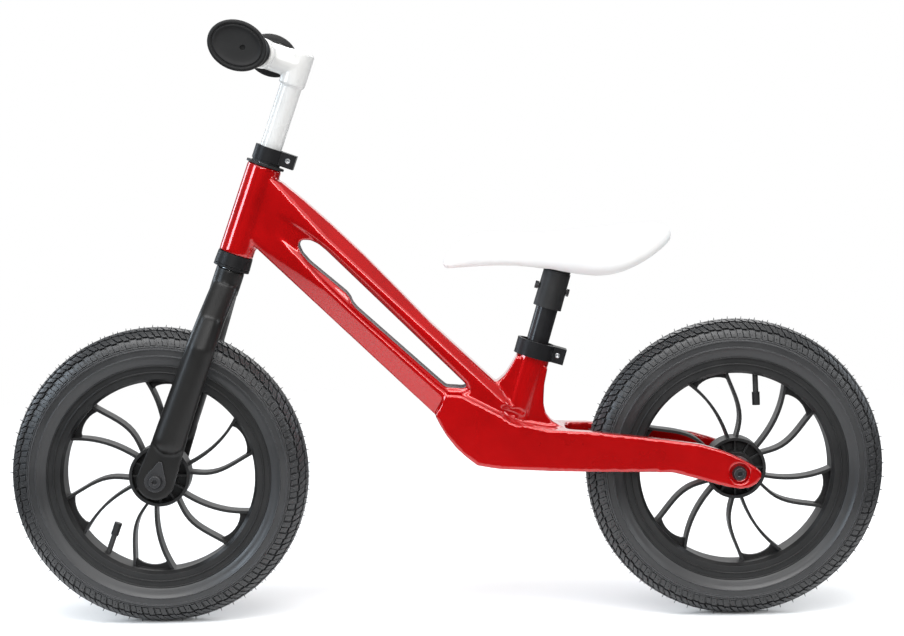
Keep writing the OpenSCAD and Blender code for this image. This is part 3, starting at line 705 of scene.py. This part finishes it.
FINISHES: dict[str, Finish] = {
    "red_paint": SlotPaint(
        "Red metallic lacquer", rgb(0.38, 0.0004, 0.0010), rgb(0.43, 0.0004, 0.0012),
        rgb(0.50, 0.003, 0.004), (0.27, 0.35), metallic=0.42, grain_scale=420.0, grain_wave=120.0,
        grain_height=0.000006, edge_radius=0.0, wear_and_highlight_amount=0.0, mark_amount=0.03, dust=0.0, coat=1.0,
        coat_roughness=0.04, coat_ior=1.65, specular=0.05,
    ),
    "fork_black": Finish(
        "Black satin paint", rgb(0.007, 0.0068, 0.0066), rgb(0.010, 0.0096, 0.0092), rgb(0.05, 0.05, 0.05),
        (0.30, 0.38), grain_scale=700.0, wear_and_highlight_amount=0.2, mark_amount=0.2, dust=0.008, coat=0.16,
        coat_roughness=0.36, specular=0.22,
    ),
    "clamp_black": BrushedFinish(
        "Black anodised alloy", rgb(0.008, 0.008, 0.009), rgb(0.011, 0.011, 0.012), rgb(0.14, 0.14, 0.145),
        (0.36, 0.46), metallic=0.2, grain_height=0.000012, edge_radius=0.0005, wear_and_highlight_amount=0.35,
        mark_amount=0.25, dust=0.01, specular=0.2,
    ),
    "cup_black": Finish(
        "Black headset cup", rgb(0.005, 0.005, 0.0055), rgb(0.007, 0.007, 0.0075), BLACK_EDGE, (0.34, 0.44),
        wear_and_highlight_amount=0.25, mark_amount=0.25, dust=0.01, specular=0.2,
    ),
    "post_black": Finish(
        "Gloss black tube", rgb(0.007, 0.007, 0.008), rgb(0.010, 0.010, 0.011), BLACK_EDGE, (0.30, 0.38),
        grain_height=0.00001, wear_and_highlight_amount=0.25, dust=0.012, coat=0.25, coat_roughness=0.1, specular=0.25,
    ),
    "white_bar": Finish(
        "White gloss paint", rgb(0.60, 0.595, 0.58), rgb(0.63, 0.625, 0.61), rgb(0.56, 0.56, 0.55),
        (0.24, 0.32), grain_scale=500.0, grain_wave=90.0, grain_height=0.000012, wear_and_highlight_amount=0.15,
        mark_amount=0.1, dust=0.02, coat=0.6, coat_roughness=0.08,
    ),
    "saddle_white": Finish(
        "White moulded saddle skin", rgb(0.665, 0.66, 0.65), rgb(0.685, 0.68, 0.67), rgb(0.64, 0.63, 0.62),
        (0.46, 0.58), grain_scale=650.0, grain_wave=220.0, grain_height=0.00009, wear_and_highlight_amount=0.1,
        mark_amount=0.1, dust=0.02, sheen=0.05, subsurface=0.4,
    ),
    "grip_black": Finish(
        "Black grip rubber", rgb(0.006, 0.006, 0.0062), rgb(0.009, 0.009, 0.0092), rgb(0.04, 0.04, 0.04),
        (0.46, 0.58), grain_scale=1500.0, grain_wave=400.0, grain_height=0.00006, mark_amount=0.15,
        dust=0.015, specular=0.25,
    ),
    # The tyre's light bluish edge colour, blended in strongly, is a painted highlight along the edges of the
    # tread blocks.
    "tyre_black": Finish(
        "Tyre rubber", rgb(0.018, 0.0182, 0.0190), rgb(0.025, 0.0252, 0.0262), rgb(0.15, 0.153, 0.16),
        (0.34, 0.46), grain_scale=1100.0, grain_wave=260.0, grain_height=0.00006, edge_radius=0.00035,
        wear_and_highlight_amount=0.8, mark_amount=0.2, dust=0.02, dust_colour=rgb(0.26, 0.25, 0.235), specular=0.55,
    ),
    "tube_black": Finish(
        "Soft black rubber", rgb(0.016, 0.016, 0.016), rgb(0.022, 0.022, 0.022), rgb(0.05, 0.05, 0.05),
        (0.52, 0.62), grain_height=0.00004, wear_and_highlight_amount=0.2,
    ),
    "wheel_black": Finish(
        "Moulded wheel nylon", rgb(0.009, 0.009, 0.0092), rgb(0.013, 0.013, 0.0132), rgb(0.06, 0.06, 0.06),
        (0.38, 0.48), grain_scale=1300.0, grain_wave=300.0, grain_height=0.00004, edge_radius=0.0007,
        mark_amount=0.15, dust=0.02, specular=0.3,
    ),
    "plastic_black": Finish(
        "Moulded black plastic", rgb(0.009, 0.009, 0.0095), rgb(0.013, 0.013, 0.0135), BLACK_EDGE,
        (0.42, 0.52), grain_scale=1300.0, grain_height=0.00004, edge_radius=0.0004, dust=0.03, specular=0.3,
    ),
    "steel": BrushedFinish(
        "Zinc plated steel", rgb(0.58, 0.59, 0.60), rgb(0.50, 0.51, 0.52), METAL_EDGE, (0.28, 0.38),
        metallic=1.0, grain_height=0.00001, edge_radius=0.0003, wear_and_highlight_amount=0.5, mark_amount=0.4, dust=0.03,
    ),
    "bolt_black": BrushedFinish(
        "Black oxide steel", rgb(0.030, 0.030, 0.032), rgb(0.045, 0.045, 0.047), rgb(0.34, 0.34, 0.35),
        (0.34, 0.44), metallic=0.7, grain_height=0.00001, edge_radius=0.0004, wear_and_highlight_amount=0.7,
        mark_amount=0.4, dust=0.03,
    ),
}


class Finishes:
    """All finishes of the bike, as built materials."""

    def __init__(self) -> None:
        """Builds the shared effects and every material."""
        effects = Effects()
        self.made = {slot: finish.build(effects) for slot, finish in FINISHES.items()}

    def __getitem__(self, slot: str) -> Material:
        """The material of a slot."""
        return self.made[slot]

    def dress_nodes(self) -> None:
        """Gives every CAD node the material of its slot in the record."""
        for part in frame["record"]["subparts"]:
            node = frame["nodes"][part["node"]]
            paint = self.made[part["material_slot"]]
            if not node.data.materials:
                node.data.materials.append(paint)
            for spot in node.material_slots:
                spot.link = "OBJECT"
                spot.material = paint


# Sub-assemblies ---------------------------------------------------------------


@dataclass
class Axis:
    """A line in the bike's middle plane, leaning back from upright."""

    origin: Point2
    lean: float

    @property
    def along(self) -> Vector:
        """Direction up the line."""
        angle = math.radians(self.lean)
        return Vector((math.sin(angle), 0.0, math.cos(angle)))

    @property
    def behind(self) -> Vector:
        """Direction backwards, square to the line."""
        angle = math.radians(self.lean)
        return Vector((math.cos(angle), 0.0, -math.sin(angle)))

    def at(self, back: float, up: float, aside: float = 0.0) -> Vector:
        """A point by the line.

        Args:
            back: Distance behind the line, in millimetres.
            up: Height along the line from its origin, in millimetres.
            aside: Distance to the rider's right, in millimetres.
        """
        foot = Vector((self.origin[0], 0.0, self.origin[1]))
        place = foot + self.behind * back + self.along * up
        return Vector((place.x, aside, place.z)) * MM


HEAD = Axis((-207.148, 368.815), 19.5)
SEAT = Axis((87.5, 262.0), 16.5)


@dataclass
class Casting:
    """The one-piece frame: beam with its slot, seat tube, keel and two stays."""

    finishes: Finishes
    half_width: float = 20.0
    seat_bore: tuple[float, float, float] = (11.16, -97.0, 40.0)
    head_bore: tuple[float, float, float] = (15.0, -8.0, 100.0)
    scoop_at: tuple[float, float, float] = (70.0, 24.9, 205.5)
    scoop_sizes: tuple[float, float, float] = (20.0, 10.8, 9.0)
    scoop_turn: float = 27.0
    pocket_depth: float = 4.4
    pocket_wall: float = 3.0
    voxel: float = 1.15
    passes: int = 14
    pocket: Sequence[Point2] = (
        (0.035, 25.0), (0.07, 20.5), (0.12, 18.5), (0.19, 15.8), (0.28, 14.2), (0.45, 14.6), (0.65, 16.2),
        (0.85, 18.0), (0.93, 19.0), (0.958, 22.5), (0.94, 32.0), (0.905, 41.0), (0.86, 42.5), (0.5, 44.6),
        (0.42, 44.0), (0.23, 42.6), (0.10, 43.6), (0.035, 44.6),
    )

    def beam_point(self, share: float, depth: float, aside: float) -> Vector:
        """A point of the beam.

        Args:
            share: Share of the way down the ridge line.
            depth: Depth below the ridge line, in millimetres.
            aside: Distance to the rider's right, in millimetres.
        """
        start, end = Vector(RIDGE_START), Vector(RIDGE_END)
        run = end - start
        angle = math.atan2(run.y, run.x)
        place = start + run * share + Vector((math.sin(angle), -math.cos(angle))) * depth
        return Vector((place.x, aside, place.y)) * MM

    def pocket_cutter(self, side: Side) -> Obj:
        """Makes the shallow sunk field round the slot, with sloping walls.

        Args:
            side: The side of the beam.
        """
        outer = side.value * self.half_width
        points = [self.beam_point(share, depth, outer) for share, depth in self.pocket]
        cutter = loop_piece("pocket_cutter", points)
        edit(cutter)
        bpy.ops.mesh.edge_face_add()
        bpy.ops.mesh.extrude_region_move(TRANSFORM_OT_translate={"value": (0, side.value * 6 * MM, 0)})
        close_edit()
        clean(cutter)
        pick_faces(cutter, lambda face: abs(face.center.y - outer * MM) < 1e-6 and abs(face.normal.y) > 0.9)
        bpy.ops.mesh.inset(thickness=self.pocket_wall * MM, depth=self.pocket_depth * MM)
        close_edit()
        return cutter

    @staticmethod
    def bore(axis: Axis, radius: float, low: float, high: float) -> Obj:
        """Makes the cutter of a bore.

        Args:
            axis: The bore's axis.
            radius: Its radius, in millimetres.
            low: Height of its floor along the axis, in millimetres.
            high: Height of its upper end, in millimetres.
        """
        return cylinder(radius, high - low, axis.at(0, (low + high) / 2), (0, math.radians(axis.lean), 0), 96)

    def build(self) -> None:
        """Builds the casting with its sunk fields, soft edges and bare slot walls."""
        body = cad_copy("frame_casting", "frame_body")
        turn = Matrix.Rotation(math.radians(self.scoop_turn), 3, "Y")
        back, aside, up = self.scoop_at
        for side in Side:
            cut(body, self.pocket_cutter(side))
            place = Vector((back, side.value * aside, up)) * MM
            cut(body, ball("scoop", place, Vector(self.scoop_sizes) * MM, turn))
        round_over(body, self.voxel, self.passes)
        for axis, sizes in ((SEAT, self.seat_bore), (HEAD, self.head_bore)):
            cut(body, self.bore(axis, *sizes))
        smooth(body, 50)
        place_piece(body, "frame", "red_paint", ["frame_casting"], self.finishes)


@dataclass
class ForkPiece:
    """The fork: two drawn legs on flat dropouts under a short neck."""

    finishes: Finishes
    nose: tuple[float, float, float] = (-1.8, -192.5, 43.5)
    nose_sizes: tuple[float, float, float] = (16.5, 11.5, 13.0)
    voxel: float = 1.25
    passes: int = 14

    def build(self) -> None:
        """Builds the fork with rounded leg ends, soft edges and welds."""
        fork = cad_copy("fork", "fork_body")
        turn = Matrix.Rotation(math.radians(HEAD.lean), 3, "Y")
        back, up, aside = self.nose
        sizes = Vector(self.nose_sizes) * MM
        noses = [ball("nose", HEAD.at(back, up, side.value * aside), sizes, turn) for side in Side]
        fork = join([fork, *noses], "fork_body")
        round_over(fork, self.voxel, self.passes)
        place_piece(fork, "fork", "fork_black", ["fork"], self.finishes)


@dataclass
class StemPiece:
    """The stem: an upright tube with a forward arm and a socket for the bar."""

    finishes: Finishes
    voxel: float = 1.1
    passes: int = 3

    def build(self) -> None:
        """Builds the stem with its welds filled."""
        stem = cad_copy("stem", "stem_body")
        round_over(stem, self.voxel, self.passes)
        place_piece(stem, "handlebar", "white_bar", ["stem"], self.finishes)


@dataclass
class GripPiece:
    """A rubber grip with raised bands and a long round safety end."""

    finishes: Finishes
    side: Side
    bar_back: float = -38.5
    bar_up: float = 197.0
    bore_r: float = 11.2
    sleeve_r: float = 14.6
    sleeve_in: float = 88.0
    sleeve_out: float = 196.0
    end_out: float = 200.0
    end_t: float = 5.0
    end_r: float = 22.6
    end_long: float = 28.0
    end_front: float = -10.3
    end_back: float = -0.3
    slope: float = 24.0
    bands: int = 22
    hole_r: float = 2.6
    hole_length: float = 8.0

    def sleeve(self) -> Obj:
        """Turns the sleeve with its lip and its bands."""
        start = self.sleeve_in
        r = self.sleeve_r
        section = [
            (self.bore_r, start), (r + 0.5, start), (r + 1.6, start + 0.8), (r + 1.6, start + 3.0),
            (r + 0.7, start + 4.0),
        ]
        pitch = (self.sleeve_out - 8 - (start + 8)) / self.bands
        for band in range(self.bands):
            low = start + 8 + band * pitch
            section += [
                (r - 0.35, low), (r + 0.55, low + 0.7), (r + 0.7, low + pitch * 0.5),
                (r + 0.55, low + pitch - 1.5), (r - 0.35, low + pitch - 0.8),
            ]
        end = self.sleeve_out
        section += [(r, end - 7), (r + 2.5, end - 1.5), (r + 5, end), (self.bore_r, end)]
        axis = Vector((0, self.side.value, 0))
        centre = HEAD.at(self.bar_back, self.bar_up)
        sleeve = turned("sleeve", section, centre, axis, 72)
        smooth(sleeve, 40)
        return sleeve

    def end_outline(self, inset: float, steps: int = 36) -> list[Point2]:
        """Outline of the end, an oval.

        Args:
            inset: Distance inside the rim, in millimetres.
            steps: Points on each half.
        """
        middle = (self.end_front + self.end_back) / 2
        long, high = self.end_long - inset, self.end_r - inset
        turns = [math.pi * k / steps for k in range(2 * steps)]
        return [(middle + long * math.sin(turn), high * math.cos(turn)) for turn in turns]

    def end(self) -> Obj:
        """Builds the safety end: rounded rim, inner raised line, dished face, small hole."""
        centre = HEAD.at(self.bar_back, self.bar_up)
        tilt = Matrix.Rotation(math.radians(self.slope), 3, "Y")
        sign = self.side.value

        def ring(inset: float, out: float) -> list[Vector]:
            """One loop of the end's surface, in metres."""
            made = []
            for back, up in self.end_outline(inset):
                made.append(centre + tilt @ Vector((back * MM, 0, up * MM)) + Vector((0, sign * out * MM, 0)))
            return made

        o = self.end_out
        loops = [
            (7.0, o - self.end_t - 1.2), (1.6, o - self.end_t), (0.4, o - self.end_t + 0.8),
            (0.0, o - self.end_t + 2.2), (0.3, o - 1.0), (1.2, o - 0.2), (2.4, o), (3.3, o - 0.3),
            (3.9, o - 1.3), (4.6, o - 1.3), (5.2, o - 0.6), (6.0, o - 0.6), (6.9, o - 1.1), (9.5, o - 1.5),
            (13.0, o - 1.7), (17.5, o - 1.8),
        ]
        mesh = bpy.data.meshes.new("grip_end")
        verts: list[Vector] = []
        faces: list[tuple[int, ...]] = []
        for inset, out in loops:
            verts += ring(inset, out)
        n = len(verts) // len(loops)
        for k in range(len(loops) - 1):
            for i in range(n):
                j = (i + 1) % n
                faces.append((k * n + i, k * n + j, (k + 1) * n + j, (k + 1) * n + i))
        faces.append(tuple(range(n)))
        faces.append(tuple(reversed(range((len(loops) - 1) * n, len(loops) * n))))
        mesh.from_pydata(verts, [], faces)
        obj = bpy.data.objects.new("grip_end", mesh)
        bpy.context.collection.objects.link(obj)
        clean(obj)
        middle = centre + Vector((0, sign * o * MM, 0))
        cut(obj, cylinder(self.hole_r, self.hole_length, middle, (math.pi / 2, 0, 0), 32))
        smooth(obj, 35)
        return obj

    def build(self) -> None:
        """Builds the grip and lets it ride on the handlebar."""
        node = "left_grip" if self.side is Side.LEFT else "right_grip"
        grip = join([self.sleeve(), self.end()], f"{node}_rubber")
        place_piece(grip, "handlebar", "grip_black", [node], self.finishes)


@dataclass
class SaddlePiece:
    """The moulded saddle: one smooth padded body over a stiff pan."""

    finishes: Finishes
    voxel: float = 2.4
    passes: int = 14

    def build(self) -> None:
        """Builds the saddle's skin."""
        saddle = cad_copy("saddle_cover", "saddle_skin")
        round_over(saddle, self.voxel, self.passes)
        apply_modifier(saddle, "SUBSURF", levels=1, render_levels=1)
        smooth(saddle)
        place_piece(saddle, "saddle", "saddle_white", ["saddle_cover"], self.finishes)


@dataclass
class TyrePiece:
    """A pneumatic tyre with a block tread, sidewall lines and moulding nibs."""

    finishes: Finishes
    wheel: Wheel
    outer_r: float = 148.5
    section_r: float = 23.5
    tread_edge: float = 73.0
    tread_depth: float = 2.8
    pitches: int = 69
    blocks: Sequence[tuple[float, float, float, float, float, float]] = (
        (0.09, 0.49, 21.6, 29.8, 0.0, 1.8), (0.57, 0.91, 22.8, 29.4, 0.0, 1.8),
        (0.09, 0.45, 11.2, 19.0, -6.2, -0.6), (0.54, 0.91, 12.6, 20.2, -5.2, 0.2),
        (0.09, 0.47, 1.1, 8.6, -10.8, -5.6), (0.56, 0.91, 2.0, 9.6, -10.0, -5.0),
    )
    nib_length: float = 2.8
    nib_r: float = 0.5
    nibs: Sequence[tuple[float, float, float]] = ((0.3, 26.5, 0.5), (0.75, 17.0, -0.4), (0.1, 6.0, 0.3))
    pressed: float = -0.992
    inner_r: float = 18.5

    @property
    def crown_r(self) -> float:
        """Radius of the circle on which the round section's centre lies."""
        return self.outer_r - self.section_r

    @property
    def pitch(self) -> float:
        """Length of one repeat of the tread on the crown, in millimetres."""
        return math.tau * self.outer_r / self.pitches

    def hub(self) -> Vector:
        """The wheel's centre, in metres."""
        low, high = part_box(f"{self.wheel.value}_tyre")
        return (low + high) / 2

    def carcass(self) -> Obj:
        """Turns the tyre's body: beads, sidewalls with their lines, and the tread's floor."""
        half: list[Point2] = [(102.2, 16.0), (112.6, 16.3), (113.9, 16.6), (114.3, 18.2)]
        for degrees in range(212, 254, 6):
            angle = math.radians(degrees - 360)
            half.append((self.crown_r + self.section_r * math.cos(angle), -self.section_r * math.sin(angle)))
        half = [p for p in half if p[1] > 0]
        lines = {
            248: 0.0, 258: 0.0, 260: 0.9, 262.5: 1.2, 264: 0.0, 276.6: 0.0,
            277.8: 1.3, 279.8: 1.3, 281.0: 0.0, 282.6: 0.0, 283.6: 0.8, 284.6: 0.0,
        }
        for degrees, raised in lines.items():
            angle = math.radians(degrees)
            r = self.section_r + raised
            half.append((self.crown_r + r * math.cos(angle), -r * math.sin(angle)))
        half.append(self.round_point(self.tread_edge + 1.0, 0.0))
        for degrees in (self.tread_edge, 64, 54, 44, 34, 24, 14, 5):
            half.append(self.round_point(degrees, -self.tread_depth))
        inner = [(102.2, 11.6), (111, 11.8), (113, 15.5)]
        for turn in map(math.radians, (112, 92, 70, 45, 20)):
            inner.append((self.crown_r + self.inner_r * math.cos(turn), self.inner_r * math.sin(turn)))
        section = half + [(r, -d) for r, d in reversed(half)]
        section += [(r, -d) for r, d in inner] + [(r, d) for r, d in reversed(inner)]
        body = turned("carcass", section, self.hub(), ACROSS, 3 * self.pitches, UPRIGHT)
        smooth(body, 50)
        return body

    def round_point(self, degrees: float, out: float) -> Point2:
        """A point of the round section.

        Args:
            degrees: Angle from the crown towards the side.
            out: Height above the section, in millimetres.
        """
        angle = math.radians(degrees)
        r = self.section_r + out
        return self.crown_r + r * math.cos(angle), r * math.sin(angle)

    def block(self, corners: Sequence[Point2]) -> Obj:
        """Makes one tread block, flat: a grid with drafted walls.

        Args:
            corners: Its four corners, as (along, across) in millimetres.
        """
        deselect()
        bpy.ops.mesh.primitive_grid_add(x_subdivisions=2, y_subdivisions=3, size=1)
        obj = bpy.context.object
        a, b, c, d = (Vector(p) for p in corners)
        for vertex in obj.data.vertices:
            u, v = vertex.co.x + 0.5, vertex.co.y + 0.5
            place = (a * (1 - u) + b * u) * (1 - v) + (d * (1 - u) + c * u) * v
            vertex.co = (place.x, place.y, 0.0)
        edit(obj)
        bpy.ops.mesh.region_to_loop()
        bpy.ops.mesh.extrude_edges_move(TRANSFORM_OT_translate={"value": (0, 0, -self.tread_depth * 1.15)})
        middle = (a + b + c + d) / 4
        bpy.ops.transform.resize(value=(1.05, 1.05, 1.0), center_override=(middle.x, middle.y, 0.0))
        close_edit()
        return obj

    def nib(self, along: float, across: float, lean: float) -> Obj:
        """Makes one thin rubber nib that the mould leaves, flat.

        Args:
            along: Its place along the tread, in millimetres.
            across: Its place across the tread, in millimetres.
            lean: How far its tip leans along, in millimetres.
        """
        deselect()
        bpy.ops.mesh.primitive_cone_add(
            vertices=4, radius1=self.nib_r, radius2=self.nib_r * 0.45, depth=self.nib_length,
            location=(along, across, self.nib_length / 2 - 0.1),
        )
        obj = bpy.context.object
        settle(obj)
        for vertex in obj.data.vertices:
            vertex.co.x += lean * max(vertex.co.z, 0) / self.nib_length
        return obj

    def repeat(self) -> Obj:
        """Makes one repeat of the tread, flat."""
        p = self.pitch
        pieces = []
        for side in (-1, 1):
            offset = 0.0 if side < 0 else p / 2
            for low, high, y0, y1, x0, x1 in self.blocks:
                corners = [
                    (offset + x0 + p * low, side * y0), (offset + x0 + p * high, side * y0),
                    (offset + x1 + p * high, side * y1), (offset + x1 + p * low, side * y1),
                ]
                if side < 0:
                    corners = [corners[1], corners[0], corners[3], corners[2]]
                pieces.append(self.block(corners))
            pieces += [self.nib(offset + p * share, side * across, lean) for share, across, lean in self.nibs]
        return join(pieces, "tread")

    def tread(self) -> Obj:
        """Repeats the flat tread and lays it round the tyre, its nibs pressed flat on the ground."""
        tread = self.repeat()
        apply_modifier(
            tread, "ARRAY", count=self.pitches, use_relative_offset=False, use_constant_offset=True,
            constant_offset_displace=(self.pitch, 0, 0), use_merge_vertices=False,
        )
        hub = self.hub()
        for vertex in tread.data.vertices:
            along, across, height = vertex.co
            turn = along / self.outer_r
            if math.cos(turn) < self.pressed:
                height = min(height, 0.0)
            r, aside = self.round_point(math.degrees(across / self.section_r), height)
            vertex.co = hub + Vector((r * math.sin(turn), aside, r * math.cos(turn))) * MM
        smooth(tread, 30)
        return tread

    def build(self) -> None:
        """Builds the tyre and lets it turn with its wheel."""
        name = f"{self.wheel.value}_tyre"
        tread = self.tread()
        tyre = join([self.carcass(), tread], f"{name}_rubber")
        place_piece(tyre, self.wheel.body, "tyre_black", [name], self.finishes)


@dataclass
class RimLines:
    """The moulded ridges on both faces of a rim."""

    finishes: Finishes
    wheel: Wheel
    face: float = 19.0
    radii: Sequence[float] = (105.0, 111.4)
    section: Sequence[Point2] = ((-1.1, -0.3), (-0.7, 0.9), (0.0, 1.3), (0.7, 0.9), (1.1, -0.3))

    def build(self) -> None:
        """Turns the ridges and lets them turn with the wheel."""
        low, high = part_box(f"{self.wheel.value}_tyre")
        rings = []
        for radius in self.radii:
            for side in Side:
                placed = [(radius + r, side.value * (self.face + d)) for r, d in self.section]
                rings.append(turned("ridge", placed, (low + high) / 2, ACROSS, 180, UPRIGHT))
        ridges = join(rings, f"{self.wheel.value}_rim_ridges")
        smooth(ridges, 60)
        place_piece(ridges, self.wheel.body, "wheel_black", [], self.finishes)


@dataclass
class CollarBolt:
    """A small plated bolt across a collar's ears, with a socket in its head and a dimple in its end."""

    finishes: Finishes
    node: str
    body: str
    head_r: float = 4.3
    head_h: float = 4.0
    shank_r: float = 2.6
    socket_r: float = 2.3
    socket_depth: float = 2.6
    dimple_r: float = 1.45

    def build(self) -> None:
        """Turns the bolt, cuts its socket and lets it ride with its collar."""
        low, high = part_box(self.node)
        start, end = low.y / MM - 0.25, high.y / MM
        head = end - self.head_h
        centre = Vector(((low.x + high.x) / 2, 0.0, (low.z + high.z) / 2))
        r, shank, dimple = self.head_r, self.shank_r, self.dimple_r
        section = [
            (0.0, start + 1.6), (dimple - 0.3, start + 1.2), (dimple, start + 0.1), (dimple + 0.3, start),
            (shank - 0.45, start), (shank, start + 0.45), (shank, head), (r - 0.3, head), (r, head + 0.3),
            (r, end - 1.0), (r - 0.25, end - 0.4), (r - 0.8, end), (0.0, end),
        ]
        bolt = turned(f"{self.node}_metal", section, centre, ACROSS, 40, UPRIGHT)
        place = centre + Vector((0, end * MM, 0))
        cut(bolt, cylinder(self.socket_r, 2 * self.socket_depth, place, (math.pi / 2, 0, 0), 6))
        smooth(bolt, 35)
        place_piece(bolt, self.body, "steel", [self.node], self.finishes)


@dataclass(frozen=True)
class Lamp:
    """A soft rectangular light: metres, watts and a colour."""

    name: str
    at: tuple[float, float, float]
    size: Point2
    power: float
    tint: tuple[float, float, float] = (1.0, 1.0, 1.0)


LAMPS = (
    Lamp("Overhead soft box", (-0.2, -1.2, 2.4), (2.6, 1.1), 46.0),
    Lamp("Left soft box", (-2.4, -1.3, 1.3), (0.7, 1.3), 32.0, (0.74, 0.87, 1.0)),
    Lamp("Right soft box", (2.5, -1.1, 1.2), (0.6, 1.3), 16.0, (0.92, 0.96, 1.0)),
    Lamp("Left rim light", (-2.3, 1.3, 1.1), (0.6, 1.4), 20.0, (0.78, 0.89, 1.0)),
    Lamp("Right rim light", (2.3, 1.3, 1.1), (0.6, 1.4), 14.0, (0.82, 0.91, 1.0)),
    Lamp("Front soft box", (0.1, -2.7, 1.05), (2.4, 0.35), 20.0),
    Lamp("Rear soft box", (0.4, 2.0, 1.9), (2.4, 0.8), 25.0),
)


@dataclass
class Studio:
    """Pale floor, soft lights and the camera."""

    camera_at: Vector = field(default_factory=lambda: Vector((0.0167, -2.3066, 0.5088)))
    yaw: float = 0.24
    pitch: float = 5.13
    roll: float = -0.87
    lens: float = 92.42
    low_surround: float = 0.05
    high_surround: float = 0.42
    rear_surround: float = 1.0
    fill: float = 1.45
    fill_width: float = 80.0
    fill_turn: float = 40.0
    floor_full: float = 0.7
    floor_rim: float = 2.0
    # Distances, in metres, over which the floor's painted dark reflection sets in.
    dark_reflection_full: float = 0.45
    dark_reflection_rim: float = 0.8

    def floor(self) -> None:
        """Lays the pale floor, a round sheet that thins out to nothing at its rim; in reflections it is
        painted near black away from the bike, a painted dark reflection.
        """
        deselect()
        bpy.ops.mesh.primitive_circle_add(vertices=96, radius=self.floor_rim, fill_type="NGON")
        sheet = bpy.context.object
        sheet.name = "floor"
        material = bpy.data.materials.new("Pale floor")
        material.use_nodes = True
        tree = Tree(material.node_tree)
        shader = material.node_tree.nodes["Principled BSDF"]
        place = tree.place()
        tone = tree.add("TexNoise", Vector=place, Scale=3.0, Detail=3.0)
        pale = tree.mix(tone.outputs[0], (0.90, 0.90, 0.90, 1), (0.92, 0.92, 0.92, 1))
        away = tree.add("VectorMath", {"operation": "LENGTH"})
        tree.feed(away, 0, place)
        distance = away.outputs["Value"]
        far = tree.ramp(distance, self.dark_reflection_full, self.dark_reflection_rim)
        # Seen by glossy rays, the floor away from the bike turns near black: a painted dark reflection on the
        # bike's glossy faces.
        painted_dark_reflection = tree.math("MULTIPLY", tree.add("LightPath").outputs["Is Glossy Ray"], far)
        tree.feed(shader, "Base Color", tree.mix(painted_dark_reflection, pale, (0.02, 0.02, 0.02, 1)))
        tree.feed(shader, "Alpha", tree.ramp(distance, self.floor_full, self.floor_rim, (1.0, 0.0)))
        shader.inputs["Roughness"].default_value = 0.85
        shader.inputs["Specular IOR Level"].default_value = 0.1
        sheet.data.materials.append(material)

    @staticmethod
    def light(lamp: Lamp) -> None:
        """Adds a soft rectangular light that faces the bike's middle.

        Args:
            lamp: Its name, place, sizes, power and colour.
        """
        data = bpy.data.lights.new(lamp.name, "AREA")
        data.shape = "RECTANGLE"
        data.size, data.size_y = lamp.size
        data.energy = lamp.power
        data.color = lamp.tint
        obj = bpy.data.objects.new(lamp.name, data)
        at = Vector(lamp.at)
        obj.location = at
        obj.rotation_euler = (Vector((0.0, 0.0, 0.3)) - at).to_track_quat("-Z", "Y").to_euler()
        bpy.context.collection.objects.link(obj)

    def lights(self) -> None:
        """Sets the even white surroundings and the soft boxes."""
        world = bpy.context.scene.world or bpy.data.worlds.new("World")
        bpy.context.scene.world = world
        world.use_nodes = True
        tree = Tree(world.node_tree)
        back = world.node_tree.nodes["Background"]
        way = tree.add("SeparateXYZ", Vector=tree.add("TexCoord").outputs["Generated"])
        surround = tree.ramp(way.outputs["Z"], 0.05, 0.9, (self.low_surround, self.high_surround))
        behind = tree.ramp(way.outputs["Y"], 0.8, 0.95, (0.0, self.rear_surround))
        surround = tree.math("MAXIMUM", surround, behind)
        seen = tree.add("LightPath").outputs["Is Camera Ray"]
        tree.feed(back, "Strength", tree.math("MAXIMUM", surround, seen))
        back.inputs["Color"].default_value = (1.0, 1.0, 1.0, 1.0)
        for lamp in LAMPS:
            self.light(lamp)
        sun = bpy.data.lights.new("Even fill", "SUN")
        sun.energy, sun.angle = self.fill, math.radians(self.fill_width)
        lamp = bpy.data.objects.new("Even fill", sun)
        lamp.rotation_euler = (math.radians(self.fill_turn), 0.0, 0.0)
        bpy.context.collection.objects.link(lamp)

    def camera(self) -> None:
        """Sets up the camera at the side of the bike."""
        data = bpy.data.cameras.new("Camera")
        data.sensor_width = 36.0
        data.lens = self.lens
        data.clip_start, data.clip_end = 0.05, 200.0
        camera = bpy.data.objects.new("Camera", data)
        yaw, pitch, roll = (math.radians(v) for v in (self.yaw, self.pitch, self.roll))
        turn = Matrix.Rotation(yaw, 3, "Z") @ Matrix.Rotation(math.pi / 2 - pitch, 3, "X")
        turn = turn @ Matrix.Rotation(roll, 3, "Z")
        camera.matrix_world = Matrix.Translation(self.camera_at) @ turn.to_4x4()
        bpy.context.collection.objects.link(camera)
        bpy.context.scene.camera = camera

    def build(self) -> None:
        """Builds the whole studio."""
        self.camera()
        self.floor()
        self.lights()
        bpy.context.scene.view_settings.view_transform = "Standard"


def main() -> None:
    """Builds the studio and every sub-assembly."""
    logging.basicConfig(level=logging.INFO, format="%(name)s %(message)s")
    finishes = Finishes()
    finishes.dress_nodes()
    Studio().build()
    Casting(finishes).build()
    ForkPiece(finishes).build()
    StemPiece(finishes).build()
    for side in Side:
        GripPiece(finishes, side).build()
    SaddlePiece(finishes).build()
    CollarBolt(finishes, "stem_clamp_bolt", "fork").build()
    CollarBolt(finishes, "seat_clamp_bolt", "frame").build()
    for wheel in Wheel:
        TyrePiece(finishes, wheel).build()
        RimLines(finishes, wheel).build()


if __name__ == "__main__":
    main()
